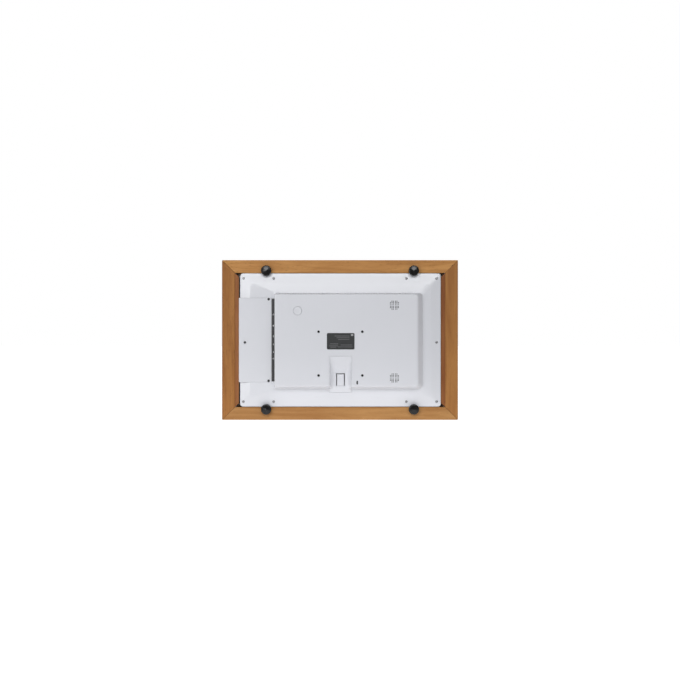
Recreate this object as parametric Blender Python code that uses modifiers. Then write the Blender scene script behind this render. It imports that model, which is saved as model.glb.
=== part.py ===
"""A digital photo frame: a display module clamped into a mitred wooden surround.

Metres, +Z up. The screen faces -Y and the back faces +Y. Everything hangs on one empty at the
middle of the surround's rear face, so a part's own y is its height above that face.
"""

import math

import bmesh
import bpy
from mathutils import Matrix, Vector

# Wooden surround
FRAME_WIDTH = 0.545
FRAME_HEIGHT = 0.369
FRAME_DEPTH = 0.038
RAIL_WIDTH = 0.0295
FACE_WIDTH = 0.044
LIP_DEPTH = 0.010
WOOD_EDGE = 0.0008
SPACER_WIDTH = 0.0092
GLASS_THICKNESS = 0.002
MAT_THICKNESS = 0.002
MAT_OVERLAP = 0.003

# Gaps
GAP = 0.0003
SLIDING_GAP = 0.0004
MODULE_GAP = 0.0010
CASE_STEP = 0.0010

# Display module
WALL = 0.0022
SKIRT_DEPTH = 0.0045
CORNER_RADIUS = 0.007
FLAT_LIP = 0.007
SLOPE_RUN = 0.016
SLOPE_RISE = 0.006
SIDE_INSET = 0.002
HOUSING_WALL = 0.0025
CHASSIS_THICKNESS = 0.001
CHASSIS_MARGIN = 0.006

# Liquid crystal panel and backlight
SCREEN_WIDTH = 0.408
SCREEN_HEIGHT = 0.255
PANEL_BORDER = 0.010
BEZEL_COVER = 0.001
BEZEL_THICKNESS = 0.0012
PANEL_THICKNESS = 0.0018
DIFFUSER_THICKNESS = 0.0008
GUIDE_THICKNESS = 0.003
PAN_THICKNESS = 0.001
LED_BAR_HEIGHT = 0.004

# Raised electronics box on the rear cover
BOX_HEIGHT = 0.022
BOX_LEFT = -0.1905
BOX_RIGHT = 0.1497
BOX_BOTTOM = -0.1123
BOX_TOP = 0.1081
BOX_SLOPE_LEFT = 0.012
BOX_SLOPE_BOTTOM = 0.006
BOX_DRAFT_TOP = 0.0030
BOX_ROUNDING = 0.0028
BOX_TOP_ROUNDING = 0.0028
BOX_SMALL_RADIUS = 0.002
BOX_LARGE_RADIUS = 0.009

# Wall mount pattern
MOUNT_PITCH = 0.100
MOUNT_X = -0.0010
MOUNT_DROP = 0.031
MOUNT_HOLE = 0.0022
MOUNT_BOSS_RADIUS = 0.005

# Screws
SCREW_HEAD_RADIUS = 0.0030
SCREW_HEAD_HEIGHT = 0.0012
SCREW_SINK = 0.0011
SCREW_SHANK_RADIUS = 0.0012
SCREW_LENGTH = 0.0075
SCREW_EDGE_X = 0.0098
SCREW_EDGE_Z = 0.0118
SCREW_SPAN_X = 0.1531
SCREW_MIDDLE_DROP = 0.0055
PAD_RADIUS = 0.0046
PAD_UNDER = 0.0014
PAD_PROUD = 0.0003
BLACK_HEAD_RADIUS = 0.0029
BLACK_HEAD_HEIGHT = 0.0020
BOSS_RADIUS = 0.0030

# Removable side cover and port strip
SIDE_COVER_HALF = 0.0969
PORT_STRIP_HALF = 0.0951
PORT_STRIP_WIDTH = 0.0077
PORT_STRIP_THICKNESS = 0.0012
PORT_WALL_THICKNESS = 0.0016
PORT_WALL_HEIGHT = 0.0174
PORT_WINDOW_SINK = 0.0006
SIDE_SCREW_INSET = 0.0070
SIDE_SCREW_EDGE = 0.0135

# Circuit boards and ports
BOARD_THICKNESS = 0.0016
BOARD_HEIGHT = 0.008
BOARD_WIDTH = 0.086
BOARD_LENGTH = 0.176
BOARD_SETBACK = 0.0015
PORT_DEPTH = 0.012
PORT_SHELL = 0.0006
DRIVER_WIDTH = 0.024
DRIVER_LENGTH = 0.120
DRIVER_EDGE = 0.030
DRIVER_HEIGHT = -0.003
HEATSINK_SIZE = 0.036
HEATSINK_BASE = 0.002
HEATSINK_FIN = 0.0012
HEATSINK_HEIGHT = 0.009
HEATSINK_FINS = 6

# Speakers
SPEAKER_X = -0.1244
SPEAKER_OFFSETS = {"upper": 0.0797, "lower": -0.0867}
SPEAKER_RADIUS = 0.0155
SPEAKER_DEPTH = 0.009
GRILLE_RADIUS = 0.0125
GRILLE_PITCH = 0.0033
GRILLE_CROSS = 0.0024
GRILLE_HOLE = 0.00115
GRILLE_PER_SIDE = 3

# Power button
BUTTON_X = 0.0967
BUTTON_Z = 0.0667
BUTTON_RADIUS = 0.0096
BUTTON_PROUD = 0.0014
BUTTON_FLANGE = 0.0018
BUTTON_FLANGE_THICKNESS = 0.0014
BUTTON_STEM_RADIUS = 0.0025
BUTTON_STEM = 0.001
BUTTON_TRAVEL = 0.0012
SWITCH_CLEARANCE = 0.0006
BUTTON_BOARD_HALF = (0.013, 0.010)
PILLAR_RADIUS = 0.0015

# Rating label
LABEL_WIDTH = 0.063
LABEL_HEIGHT = 0.0372
LABEL_X = -0.0016
LABEL_Z = -0.0029
LABEL_RADIUS = 0.003
LABEL_THICKNESS = 0.0005

# Stand socket: a scoop sunk in the raised box and open at the box's foot
SOCKET_X = -0.0012
SOCKET_WIDTH = 0.052
SOCKET_TOP = -0.0370
SOCKET_TAIL = 0.0086
SOCKET_RIM = 0.0012
SOCKET_FLANK_RUN = 0.009
RAMP_LENGTH = 0.031
RAMP_DEPTH = 0.0135
SCOOP_DEPTH = 0.0190
SOCKET_FLOOR = 0.0044
TAIL_STEP = 0.0008
TAB_WIDTH = 0.0159
TAB_SLOT = 0.0021
TAB_LENGTH = 0.0265
TAB_FOOT = 0.0071
TAB_THICKNESS = 0.0022
LOCK_X = -0.0393
LOCK_Z = -0.0973
LOCK_WIDTH = 0.0036
LOCK_HEIGHT = 0.0086

# Vent slots in the top wall of the raised box
VENT_COUNT = 53
VENT_PITCH = 0.0060
VENT_WIDTH = 0.0034
VENT_LOW = 0.0090
VENT_HIGH = 0.0220

# Thumbscrews, their captive washers and the threaded inserts in the wood
KNOB_X = 0.170
KNOB_OUTSIDE = 0.0058
KNOB_RADIUS = 0.012
KNOB_HEIGHT = 0.012
KNOB_ROUNDING = 0.0022
WASHER_RADIUS = 0.0115
WASHER_THICKNESS = 0.0012
STUD_RADIUS = 0.002
STUD_LENGTH = 0.012
INSERT_RADIUS = 0.0038
INSERT_LENGTH = 0.013

# Sides of round pieces
KNOB_SIDES = 20
ROUND_SIDES = 16
SMALL_SIDES = 8
GRILLE_SIDES = 6
CORNER_STEPS = 4

# Worked out from the sizes above
REAR_REACH = SLOPE_RISE + BOX_HEIGHT + BUTTON_PROUD
REAR_Y = (FRAME_DEPTH - REAR_REACH) / 2
CENTRE_Z = FRAME_HEIGHT / 2
OPENING_HALF_X = FRAME_WIDTH / 2 - RAIL_WIDTH
OPENING_HALF_Z = FRAME_HEIGHT / 2 - RAIL_WIDTH
COVER_HALF_X = OPENING_HALF_X - SPACER_WIDTH - MODULE_GAP
COVER_HALF_Z = OPENING_HALF_Z - MODULE_GAP
COVER_RIGHT = COVER_HALF_X - SIDE_INSET
LIP_BACK = LIP_DEPTH - FRAME_DEPTH
GLASS_FRONT = LIP_BACK + GAP
MAT_FRONT = GLASS_FRONT + GLASS_THICKNESS + GAP
HOUSING_FRONT = MAT_FRONT + MAT_THICKNESS + GAP
HOUSING_BACK = -SKIRT_DEPTH - GAP
PLATEAU = SLOPE_RISE
BOX_FACE = SLOPE_RISE + BOX_HEIGHT
BEZEL_FRONT = HOUSING_FRONT + HOUSING_WALL + GAP
PAN_FRONT = BEZEL_FRONT + BEZEL_THICKNESS + GAP
DIFFUSER_FRONT = PAN_FRONT + PANEL_THICKNESS + GAP
GUIDE_FRONT = DIFFUSER_FRONT + DIFFUSER_THICKNESS + GAP
GUIDE_BACK = GUIDE_FRONT + GUIDE_THICKNESS
PAN_BACK = GUIDE_BACK + GAP + PAN_THICKNESS
CHASSIS_FRONT = PAN_BACK + GAP
CHASSIS_BACK = CHASSIS_FRONT + CHASSIS_THICKNESS
KNOB_Z = COVER_HALF_Z + KNOB_OUTSIDE
SOCKET_BOTTOM = BOX_BOTTOM - SOCKET_TAIL
RAMP_FOOT = SOCKET_TOP - RAMP_LENGTH
SCOOP_SLOPE = (SCOOP_DEPTH - RAMP_DEPTH) / (RAMP_FOOT - BOX_BOTTOM)
TAB_BOTTOM = BOX_BOTTOM + TAB_FOOT
TAB_TOP = TAB_BOTTOM + TAB_LENGTH
PAD_DEPTH = WALL + PAD_UNDER
SCREW_X = COVER_HALF_X - SCREW_EDGE_X
SCREW_Z = COVER_HALF_Z - SCREW_EDGE_Z
STRIP_RIGHT = BOX_RIGHT + PORT_STRIP_WIDTH
SIDE_COVER_LEFT = STRIP_RIGHT + GAP
DRIVER_X = DRIVER_EDGE - COVER_HALF_X
BOARD_RIGHT = BOX_RIGHT - WALL - PORT_WALL_THICKNESS - BOARD_SETBACK
BOARD_X = BOARD_RIGHT - BOARD_WIDTH / 2
BOARD_BACK = BOARD_HEIGHT + BOARD_THICKNESS
PORT_WALL_OUT = BOX_RIGHT - GAP
PORT_WALL_IN = PORT_WALL_OUT - PORT_WALL_THICKNESS
BUTTON_STEM_END = BOX_FACE - WALL - SLIDING_GAP - BUTTON_FLANGE_THICKNESS - BUTTON_STEM

# Looks: colour, roughness, metallic
OAK = ((0.40, 0.21, 0.085), 0.55, 0.0)
OAK_DARK = ((0.32, 0.15, 0.055), 0.60, 0.0)
WHITE = ((0.80, 0.80, 0.82), 0.45, 0.0)
BLACK = ((0.010, 0.010, 0.011), 0.18, 0.0)
DARK = ((0.045, 0.045, 0.050), 0.55, 0.0)
STEEL = ((0.52, 0.52, 0.54), 0.32, 1.0)
ALUMINIUM = ((0.66, 0.67, 0.69), 0.38, 1.0)
BRASS = ((0.66, 0.49, 0.22), 0.30, 1.0)
GLASS = ((0.86, 0.90, 0.91), 0.03, 0.0)
SCREEN = ((0.012, 0.013, 0.016), 0.12, 0.0)
CARD = ((0.86, 0.84, 0.79), 0.90, 0.0)
FILM = ((0.85, 0.86, 0.87), 0.50, 0.0)
BOARD = ((0.02, 0.14, 0.06), 0.50, 0.0)

# Port openings: height along the strip, length, thickness, round bore (0 for a rectangular mouth)
PORTS = {
    "dc_jack": (0.0585, 0.0100, 0.0110, 0.0032),
    "card_slot": (0.0330, 0.0270, 0.0042, 0.0),
    "hdmi_port": (0.0085, 0.0155, 0.0062, 0.0),
    "usb_port_1": (-0.0100, 0.0136, 0.0066, 0.0),
    "usb_port_2": (-0.0275, 0.0136, 0.0066, 0.0),
    "audio_jack": (-0.0430, 0.0075, 0.0070, 0.0019),
}

UPRIGHT = Matrix.Rotation(math.pi / 2, 4, "X")


def clear_scene():
    """Start from nothing."""
    for obj in list(bpy.data.objects):
        bpy.data.objects.remove(obj, do_unlink=True)


clear_scene()
PARTS = bpy.data.collections.new("digital_photo_frame")
CUTTERS = bpy.data.collections.new("cutters")
bpy.context.scene.collection.children.link(PARTS)
bpy.context.scene.collection.children.link(CUTTERS)
CENTRE = bpy.data.objects.new("frame_centre", None)
CENTRE.location = (0.0, REAR_Y, CENTRE_Z)
PARTS.objects.link(CENTRE)


def finish(obj, look):
    """Give an object its own Principled material."""
    colour, roughness, metallic = look
    material = bpy.data.materials.new(obj.name)
    material.use_nodes = True
    shader = material.node_tree.nodes["Principled BSDF"]
    shader.inputs["Base Color"].default_value = (*colour, 1.0)
    shader.inputs["Roughness"].default_value = roughness
    shader.inputs["Metallic"].default_value = metallic
    obj.data.materials.append(material)


def add_part(name, mesh, look, location=(0.0, 0.0, 0.0), turn=(0.0, 0.0, 0.0)):
    """Place a mesh as a named part under the frame's centre."""
    obj = bpy.data.objects.new(name, mesh)
    obj.parent = CENTRE
    obj.location = location
    obj.rotation_euler = turn
    PARTS.objects.link(obj)
    finish(obj, look)
    return obj


def helper(name, mesh):
    """A hidden object that cuts or joins."""
    obj = bpy.data.objects.new(name, mesh)
    obj.parent = CENTRE
    obj.hide_render = True
    obj.display_type = "WIRE"
    CUTTERS.objects.link(obj)
    return obj


def boolean(obj, other, operation="DIFFERENCE"):
    """Cut a part with a helper, or join the helper to it."""
    modifier = obj.modifiers.new(other.name, "BOOLEAN")
    modifier.operation = operation
    modifier.solver = "EXACT"
    modifier.object = other


def bevel(obj, width):
    """Ease the sharp edges."""
    modifier = obj.modifiers.new("eased_edges", "BEVEL")
    modifier.width = width
    modifier.limit_method = "ANGLE"


def smooth(mesh, angle=math.radians(35)):
    """Shade a round piece smooth between its sharp edges."""
    mesh.shade_smooth()
    mesh.set_sharp_from_angle(angle=angle)


def mesh_from(name, build):
    """A mesh filled by a function that takes a bmesh."""
    bm = bmesh.new()
    build(bm)
    mesh = bpy.data.meshes.new(name)
    bm.to_mesh(mesh)
    bm.free()
    return mesh


def tidy_surface(mesh):
    """Weld loose caps and face everything outwards."""
    bm = bmesh.new()
    bm.from_mesh(mesh)
    bmesh.ops.remove_doubles(bm, verts=bm.verts, dist=1e-6)
    bmesh.ops.recalc_face_normals(bm, faces=bm.faces)
    bm.to_mesh(mesh)
    bm.free()


def add_rod(bm, centre, radius, length, sides):
    """A cylinder along Y about a centre."""
    matrix = Matrix.Translation(centre) @ UPRIGHT
    bmesh.ops.create_cone(
        bm, cap_ends=True, segments=sides, radius1=radius, radius2=radius, depth=length, matrix=matrix
    )


def add_post(bm, x, z, foot, top, radius, sides):
    """A cylinder along Y between two heights."""
    add_rod(bm, (x, (foot + top) / 2, z), radius, top - foot, sides)


def add_block(bm, low, high):
    """A box between two corners."""
    low = Vector(low)
    high = Vector(high)
    matrix = Matrix.Translation((low + high) / 2) @ Matrix.Diagonal((*(high - low), 1.0))
    bmesh.ops.create_cube(bm, size=1.0, matrix=matrix)


def box_mesh(name, low, high):
    """One box between two corners."""
    return mesh_from(name, lambda bm: add_block(bm, low, high))


def arc(centre, radius, start, sweep, steps):
    """Points along an arc, both ends included."""
    return [
        (
            centre[0] + radius * math.cos(start + sweep * i / steps),
            centre[1] + radius * math.sin(start + sweep * i / steps),
        )
        for i in range(steps + 1)
    ]


def rounded(low_x, high_x, low_z, high_z, radii, steps=CORNER_STEPS):
    """A rectangle with a radius at each corner, from the upper right one anticlockwise."""
    signs = ((1, 1), (-1, 1), (-1, -1), (1, -1))
    points = []
    for turn, (sign, radius) in enumerate(zip(signs, radii)):
        x = high_x - radius if sign[0] > 0 else low_x + radius
        z = high_z - radius if sign[1] > 0 else low_z + radius
        points += arc((x, z), radius, turn * math.pi / 2, math.pi / 2, steps)
    return points


def rectangle(half_x, half_z, radius=0.0):
    """A centred rectangle, with rounded corners where a radius is given."""
    if radius:
        return rounded(-half_x, half_x, -half_z, half_z, [radius] * 4)
    return [(half_x, half_z), (-half_x, half_z), (-half_x, -half_z), (half_x, -half_z)]


def outline_mesh(name, loops, thickness):
    """A flat outline in XZ, its later loops being holes, as a plate about y = 0."""
    curve = bpy.data.curves.new(name, "CURVE")
    curve.dimensions = "2D"
    curve.fill_mode = "BOTH"
    curve.extrude = thickness / 2
    for loop in loops:
        spline = curve.splines.new("POLY")
        spline.points.add(len(loop) - 1)
        for point, (x, z) in zip(spline.points, loop):
            point.co = (x, z, 0.0, 1.0)
        spline.use_cyclic_u = True
    guide = bpy.data.objects.new(name, curve)
    CUTTERS.objects.link(guide)
    graph = bpy.context.evaluated_depsgraph_get()
    mesh = bpy.data.meshes.new_from_object(guide.evaluated_get(graph))
    bpy.data.objects.remove(guide)
    mesh.transform(UPRIGHT)
    tidy_surface(mesh)
    return mesh


def plate(name, loops, front, back, look, x=0.0, z=0.0):
    """A plate between two heights along Y."""
    mesh = outline_mesh(name, loops, back - front)
    return add_part(name, mesh, look, (x, (front + back) / 2, z))


def turned(name, profile, look, location, sides, closed=False):
    """A shape turned about Y: its profile holds (radius, height) from the rear end forwards."""
    mesh = bpy.data.meshes.new(name)
    edges = [(i, i + 1) for i in range(len(profile) - 1)]
    if closed:
        edges.append((len(profile) - 1, 0))
    mesh.from_pydata([(radius, 0.0, height) for radius, height in profile], edges, [])
    obj = add_part(name, mesh, look, location, (-math.pi / 2, 0.0, 0.0))
    screw = obj.modifiers.new("turn", "SCREW")
    screw.steps = sides
    screw.render_steps = sides
    screw.use_merge_vertices = True
    screw.merge_threshold = 1e-5
    screw.use_smooth_shade = True
    return obj


def cover_height(x, z, margin=0.0):
    """Height of the rear cover's outer face outside the raised box, at its lowest within a margin."""
    inside = min(COVER_HALF_X - abs(x), COVER_HALF_Z - abs(z)) - FLAT_LIP - margin
    return SLOPE_RISE * min(max(inside / SLOPE_RUN, 0.0), 1.0)


def cover_screw_places():
    """Where the nine screws of the rear cover sit."""
    places = {}
    for side_z, level in ((1, "top"), (-1, "bottom")):
        for number, x in enumerate((-SCREW_X, -SCREW_SPAN_X, SCREW_SPAN_X, SCREW_X), start=1):
            places[f"cover_screw_{level}_{number}"] = (x, side_z * SCREW_Z)
    places["cover_screw_side"] = (-SCREW_X, -SCREW_MIDDLE_DROP)
    return places


def side_screw_places():
    """Where the three black screws of the side cover sit."""
    near = STRIP_RIGHT + SIDE_SCREW_INSET
    return {
        "side_screw_upper": (near, SIDE_COVER_HALF - BLACK_HEAD_RADIUS),
        "side_screw_lower": (near, BLACK_HEAD_RADIUS - SIDE_COVER_HALF),
        "side_screw_edge": (COVER_HALF_X - SIDE_SCREW_EDGE, -SCREW_MIDDLE_DROP),
    }


def mount_places():
    """The four holes of the wall-mount square."""
    half = MOUNT_PITCH / 2
    return [(MOUNT_X + x, z - MOUNT_DROP) for x in (-half, half) for z in (-half, half)]


def knob_places():
    """The four thumbscrews, named by the side of the frame as its front is seen."""
    return {
        f"{level}_{side}": (sign_x * KNOB_X, sign_z * KNOB_Z)
        for level, sign_z in (("upper", 1), ("lower", -1))
        for side, sign_x in (("left", -1), ("right", 1))
    }


def mitred_member(name, length, place, turn, look):
    """A member of the surround, its rebate inside, both ends cut at 45 degrees."""
    section = [
        (0.0, -FRAME_DEPTH),
        (FACE_WIDTH, -FRAME_DEPTH),
        (FACE_WIDTH, LIP_BACK),
        (RAIL_WIDTH, LIP_BACK),
        (RAIL_WIDTH, 0.0),
        (0.0, 0.0),
    ]
    mesh = outline_mesh(name, [section], length)
    mesh.transform(Matrix(((0, 1, 0, 0), (0, 0, 1, 0), (1, 0, 0, 0), (0, 0, 0, 1))))
    for vertex in mesh.vertices:
        half = length / 2 - GAP - vertex.co.z
        vertex.co.x = math.copysign(half, vertex.co.x)
    tidy_surface(mesh)
    obj = add_part(name, mesh, look, place, (0.0, turn, 0.0))
    bevel(obj, WOOD_EDGE)
    return obj


def add_surround():
    """Two rails and two stiles, bored for the threaded inserts."""
    half_x = FRAME_WIDTH / 2
    half_z = FRAME_HEIGHT / 2
    rails = [
        mitred_member("frame_bottom_rail", FRAME_WIDTH, (0.0, 0.0, -half_z), 0.0, OAK),
        mitred_member("frame_top_rail", FRAME_WIDTH, (0.0, 0.0, half_z), math.pi, OAK),
    ]
    mitred_member("frame_left_stile", FRAME_HEIGHT, (-half_x, 0.0, 0.0), math.pi / 2, OAK)
    mitred_member("frame_right_stile", FRAME_HEIGHT, (half_x, 0.0, 0.0), -math.pi / 2, OAK)

    def bores(bm):
        for x, z in knob_places().values():
            add_post(bm, x, z, -INSERT_LENGTH - GAP, CASE_STEP, INSERT_RADIUS + GAP, ROUND_SIDES)

    bore = helper("insert_bores", mesh_from("insert_bores", bores))
    for rail in rails:
        boolean(rail, bore)


def add_spacers():
    """A strip fills the rebate beside the module; its ends are cut at 45 degrees."""
    outer = OPENING_HALF_X - GAP
    inner = outer - SPACER_WIDTH
    long_half = OPENING_HALF_Z - GAP
    short_half = long_half - SPACER_WIDTH
    outline = [(inner, short_half), (inner, -short_half), (outer, -long_half), (outer, long_half)]
    for side, sign in (("left", -1), ("right", 1)):
        loop = [(sign * x, z) for x, z in outline]
        plate(f"spacer_{side}", [loop], HOUSING_FRONT, 0.0, OAK_DARK)


def add_front_glass():
    """Glazing and the card mat behind it."""
    half_x = OPENING_HALF_X - MODULE_GAP
    half_z = OPENING_HALF_Z - MODULE_GAP
    plate("front_glass", [rectangle(half_x, half_z)], GLASS_FRONT, GLASS_FRONT + GLASS_THICKNESS, GLASS)
    window = rectangle(SCREEN_WIDTH / 2 - MAT_OVERLAP, SCREEN_HEIGHT / 2 - MAT_OVERLAP)
    loops = [rectangle(half_x, half_z), window]
    plate("mat_board", loops, MAT_FRONT, MAT_FRONT + MAT_THICKNESS, CARD)


def add_front_housing():
    """The module's front shell: a shallow tray with a window."""
    half_x = COVER_HALF_X - CASE_STEP
    half_z = COVER_HALF_Z - CASE_STEP
    tray = plate(
        "front_housing", [rectangle(half_x, half_z, CORNER_RADIUS)], HOUSING_FRONT, HOUSING_BACK, DARK
    )
    pocket = box_mesh(
        "housing_pocket",
        (HOUSING_WALL - half_x, HOUSING_FRONT + HOUSING_WALL, HOUSING_WALL - half_z),
        (half_x - HOUSING_WALL, HOUSING_BACK + CASE_STEP, half_z - HOUSING_WALL),
    )
    window = box_mesh(
        "housing_window",
        (-SCREEN_WIDTH / 2, HOUSING_FRONT - CASE_STEP, -SCREEN_HEIGHT / 2),
        (SCREEN_WIDTH / 2, HOUSING_FRONT + 2 * HOUSING_WALL, SCREEN_HEIGHT / 2),
    )
    boolean(tray, helper("housing_pocket", pocket))
    boolean(tray, helper("housing_window", window))


def add_screen():
    """The liquid crystal module: bezel, panel, diffuser, light guide, lamp bar and pan."""
    outer_x = SCREEN_WIDTH / 2 + PANEL_BORDER
    outer_z = SCREEN_HEIGHT / 2 + PANEL_BORDER
    inner_x = outer_x - PAN_THICKNESS
    inner_z = outer_z - PAN_THICKNESS
    window = rectangle(SCREEN_WIDTH / 2 + BEZEL_COVER, SCREEN_HEIGHT / 2 + BEZEL_COVER)
    bezel = [rectangle(outer_x, outer_z), window]
    plate("lcd_bezel", bezel, BEZEL_FRONT, BEZEL_FRONT + BEZEL_THICKNESS, STEEL)
    sheet = rectangle(inner_x - GAP, inner_z - GAP)
    plate("lcd_panel", [sheet], PAN_FRONT, PAN_FRONT + PANEL_THICKNESS, SCREEN)
    plate("diffuser_stack", [sheet], DIFFUSER_FRONT, DIFFUSER_FRONT + DIFFUSER_THICKNESS, FILM)
    guide_low = LED_BAR_HEIGHT + 2 * GAP - inner_z
    guide = [
        (inner_x - GAP, guide_low),
        (inner_x - GAP, inner_z - GAP),
        (GAP - inner_x, inner_z - GAP),
        (GAP - inner_x, guide_low),
    ]
    plate("light_guide", [guide], GUIDE_FRONT, GUIDE_BACK, FILM)
    bar = rectangle(inner_x - GAP, LED_BAR_HEIGHT / 2)
    bar_z = GAP + LED_BAR_HEIGHT / 2 - inner_z
    plate("led_bar", [bar], GUIDE_FRONT, GUIDE_BACK, BOARD, z=bar_z)
    pan = plate("backlight_pan", [rectangle(outer_x, outer_z)], PAN_FRONT, PAN_BACK, ALUMINIUM)
    pocket = box_mesh(
        "pan_pocket",
        (-inner_x, PAN_FRONT - CASE_STEP, -inner_z),
        (inner_x, PAN_BACK - PAN_THICKNESS, inner_z),
    )
    boolean(pan, helper("pan_pocket", pocket))


def bar_mesh(name, section, length):
    """A section in X and height, drawn out along Z."""
    mesh = outline_mesh(name, [section], length)
    mesh.transform(Matrix.Rotation(-math.pi / 2, 4, "X"))
    return mesh


def side_profile_mesh(name, profile, width):
    """A side profile in height and Z, drawn out along X."""
    mesh = outline_mesh(name, [profile], width)
    mesh.transform(Matrix.Rotation(math.pi / 2, 4, "Z"))
    return mesh


def cover_rings():
    """The rear cover's outer face as rings from its skirt up to the raised face."""
    edge = [-COVER_HALF_X, COVER_RIGHT, -COVER_HALF_Z, COVER_HALF_Z]
    edge_radii = [CORNER_RADIUS] * 4
    lip = FLAT_LIP
    slope = FLAT_LIP + SLOPE_RUN
    box_radii = [BOX_SMALL_RADIUS, BOX_LARGE_RADIUS, BOX_LARGE_RADIUS, BOX_SMALL_RADIUS]
    shoulder = BOX_HEIGHT - BOX_ROUNDING
    share = shoulder / BOX_HEIGHT
    levels = [
        (edge, edge_radii, 0.0, -SKIRT_DEPTH),
        (edge, edge_radii, 0.0, 0.0),
        (edge, edge_radii, lip, 0.0),
        (edge, edge_radii, slope, PLATEAU),
        ([BOX_LEFT, BOX_RIGHT, BOX_BOTTOM, BOX_TOP], box_radii, 0.0, PLATEAU),
        (
            [
                BOX_LEFT + BOX_SLOPE_LEFT * share,
                BOX_RIGHT,
                BOX_BOTTOM + BOX_SLOPE_BOTTOM * share,
                BOX_TOP - BOX_DRAFT_TOP,
            ],
            box_radii,
            0.0,
            PLATEAU + shoulder,
        ),
        (
            [
                BOX_LEFT + BOX_SLOPE_LEFT,
                BOX_RIGHT - BOX_ROUNDING,
                BOX_BOTTOM + BOX_SLOPE_BOTTOM,
                BOX_TOP - BOX_DRAFT_TOP - BOX_TOP_ROUNDING,
            ],
            box_radii,
            0.0,
            BOX_FACE,
        ),
    ]
    rings = []
    for (low_x, high_x, low_z, high_z), radii, inset, height in levels:
        loop = rounded(low_x + inset, high_x - inset, low_z + inset, high_z - inset, radii)
        rings.append([(x, height, z) for x, z in loop])
    return rings


def add_shell(bm, rings):
    """Faces between rings of equal length, and one over the last ring, all facing outwards."""
    loops = [[bm.verts.new(point) for point in ring] for ring in rings]
    for low, high in zip(loops, loops[1:]):
        for i in range(len(low)):
            j = (i + 1) % len(low)
            bm.faces.new((low[j], low[i], high[i], high[j]))
    bm.faces.new(loops[-1][::-1])


def add_grille(bm):
    """Holes in rows, left out along a cross through each speaker's centre."""
    steps = [GRILLE_CROSS + GRILLE_PITCH * i for i in range(GRILLE_PER_SIDE)]
    for middle in SPEAKER_OFFSETS.values():
        for x in steps:
            for z in steps:
                if math.hypot(x, z) + GRILLE_HOLE > GRILLE_RADIUS:
                    continue
                for sign_x in (-1, 1):
                    for sign_z in (-1, 1):
                        add_post(
                            bm,
                            SPEAKER_X + sign_x * x,
                            middle + sign_z * z,
                            BOX_FACE - 2 * WALL,
                            BOX_FACE + CASE_STEP,
                            GRILLE_HOLE,
                            GRILLE_SIDES,
                        )


def add_cover_holes(bm):
    """Screw holes, the wall-mount holes and the button's hole."""
    hole = SCREW_SHANK_RADIUS + SLIDING_GAP
    for x, z in cover_screw_places().values():
        add_post(bm, x, z, -SKIRT_DEPTH, PLATEAU, hole, SMALL_SIDES)
    low = BOX_FACE - 2 * WALL
    high = BOX_FACE + CASE_STEP
    for x, z in mount_places():
        add_post(bm, x, z, low, high, MOUNT_HOLE, ROUND_SIDES)
    add_post(bm, BUTTON_X, BUTTON_Z, low, high, BUTTON_RADIUS + SLIDING_GAP, KNOB_SIDES)


def add_cover_slots(bm):
    """Vents, the lock slot and the windows for the port strip and the side cover."""
    middle = (BOX_LEFT + BOX_SLOPE_LEFT + BOX_RIGHT) / 2
    for i in range(VENT_COUNT):
        x = middle + VENT_PITCH * (i - (VENT_COUNT - 1) / 2)
        low = (x - VENT_WIDTH / 2, VENT_LOW, BOX_TOP - BOX_DRAFT_TOP - 2 * WALL)
        add_block(bm, low, (x + VENT_WIDTH / 2, VENT_HIGH, BOX_TOP + CASE_STEP))
    add_block(
        bm,
        (LOCK_X - LOCK_WIDTH / 2, BOX_FACE - 2 * WALL, LOCK_Z - LOCK_HEIGHT / 2),
        (LOCK_X + LOCK_WIDTH / 2, BOX_FACE + CASE_STEP, LOCK_Z + LOCK_HEIGHT / 2),
    )
    half = PORT_STRIP_HALF + GAP
    top = PLATEAU + PORT_WALL_HEIGHT + 2 * GAP
    add_block(
        bm,
        (BOX_RIGHT - 2 * WALL, PLATEAU - PORT_WINDOW_SINK, -half),
        (BOX_RIGHT + GAP, top, half),
    )
    half = SIDE_COVER_HALF + GAP
    add_block(
        bm,
        (STRIP_RIGHT, -2 * SKIRT_DEPTH, -half),
        (COVER_HALF_X + CASE_STEP, PLATEAU + CASE_STEP, half),
    )


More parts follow.
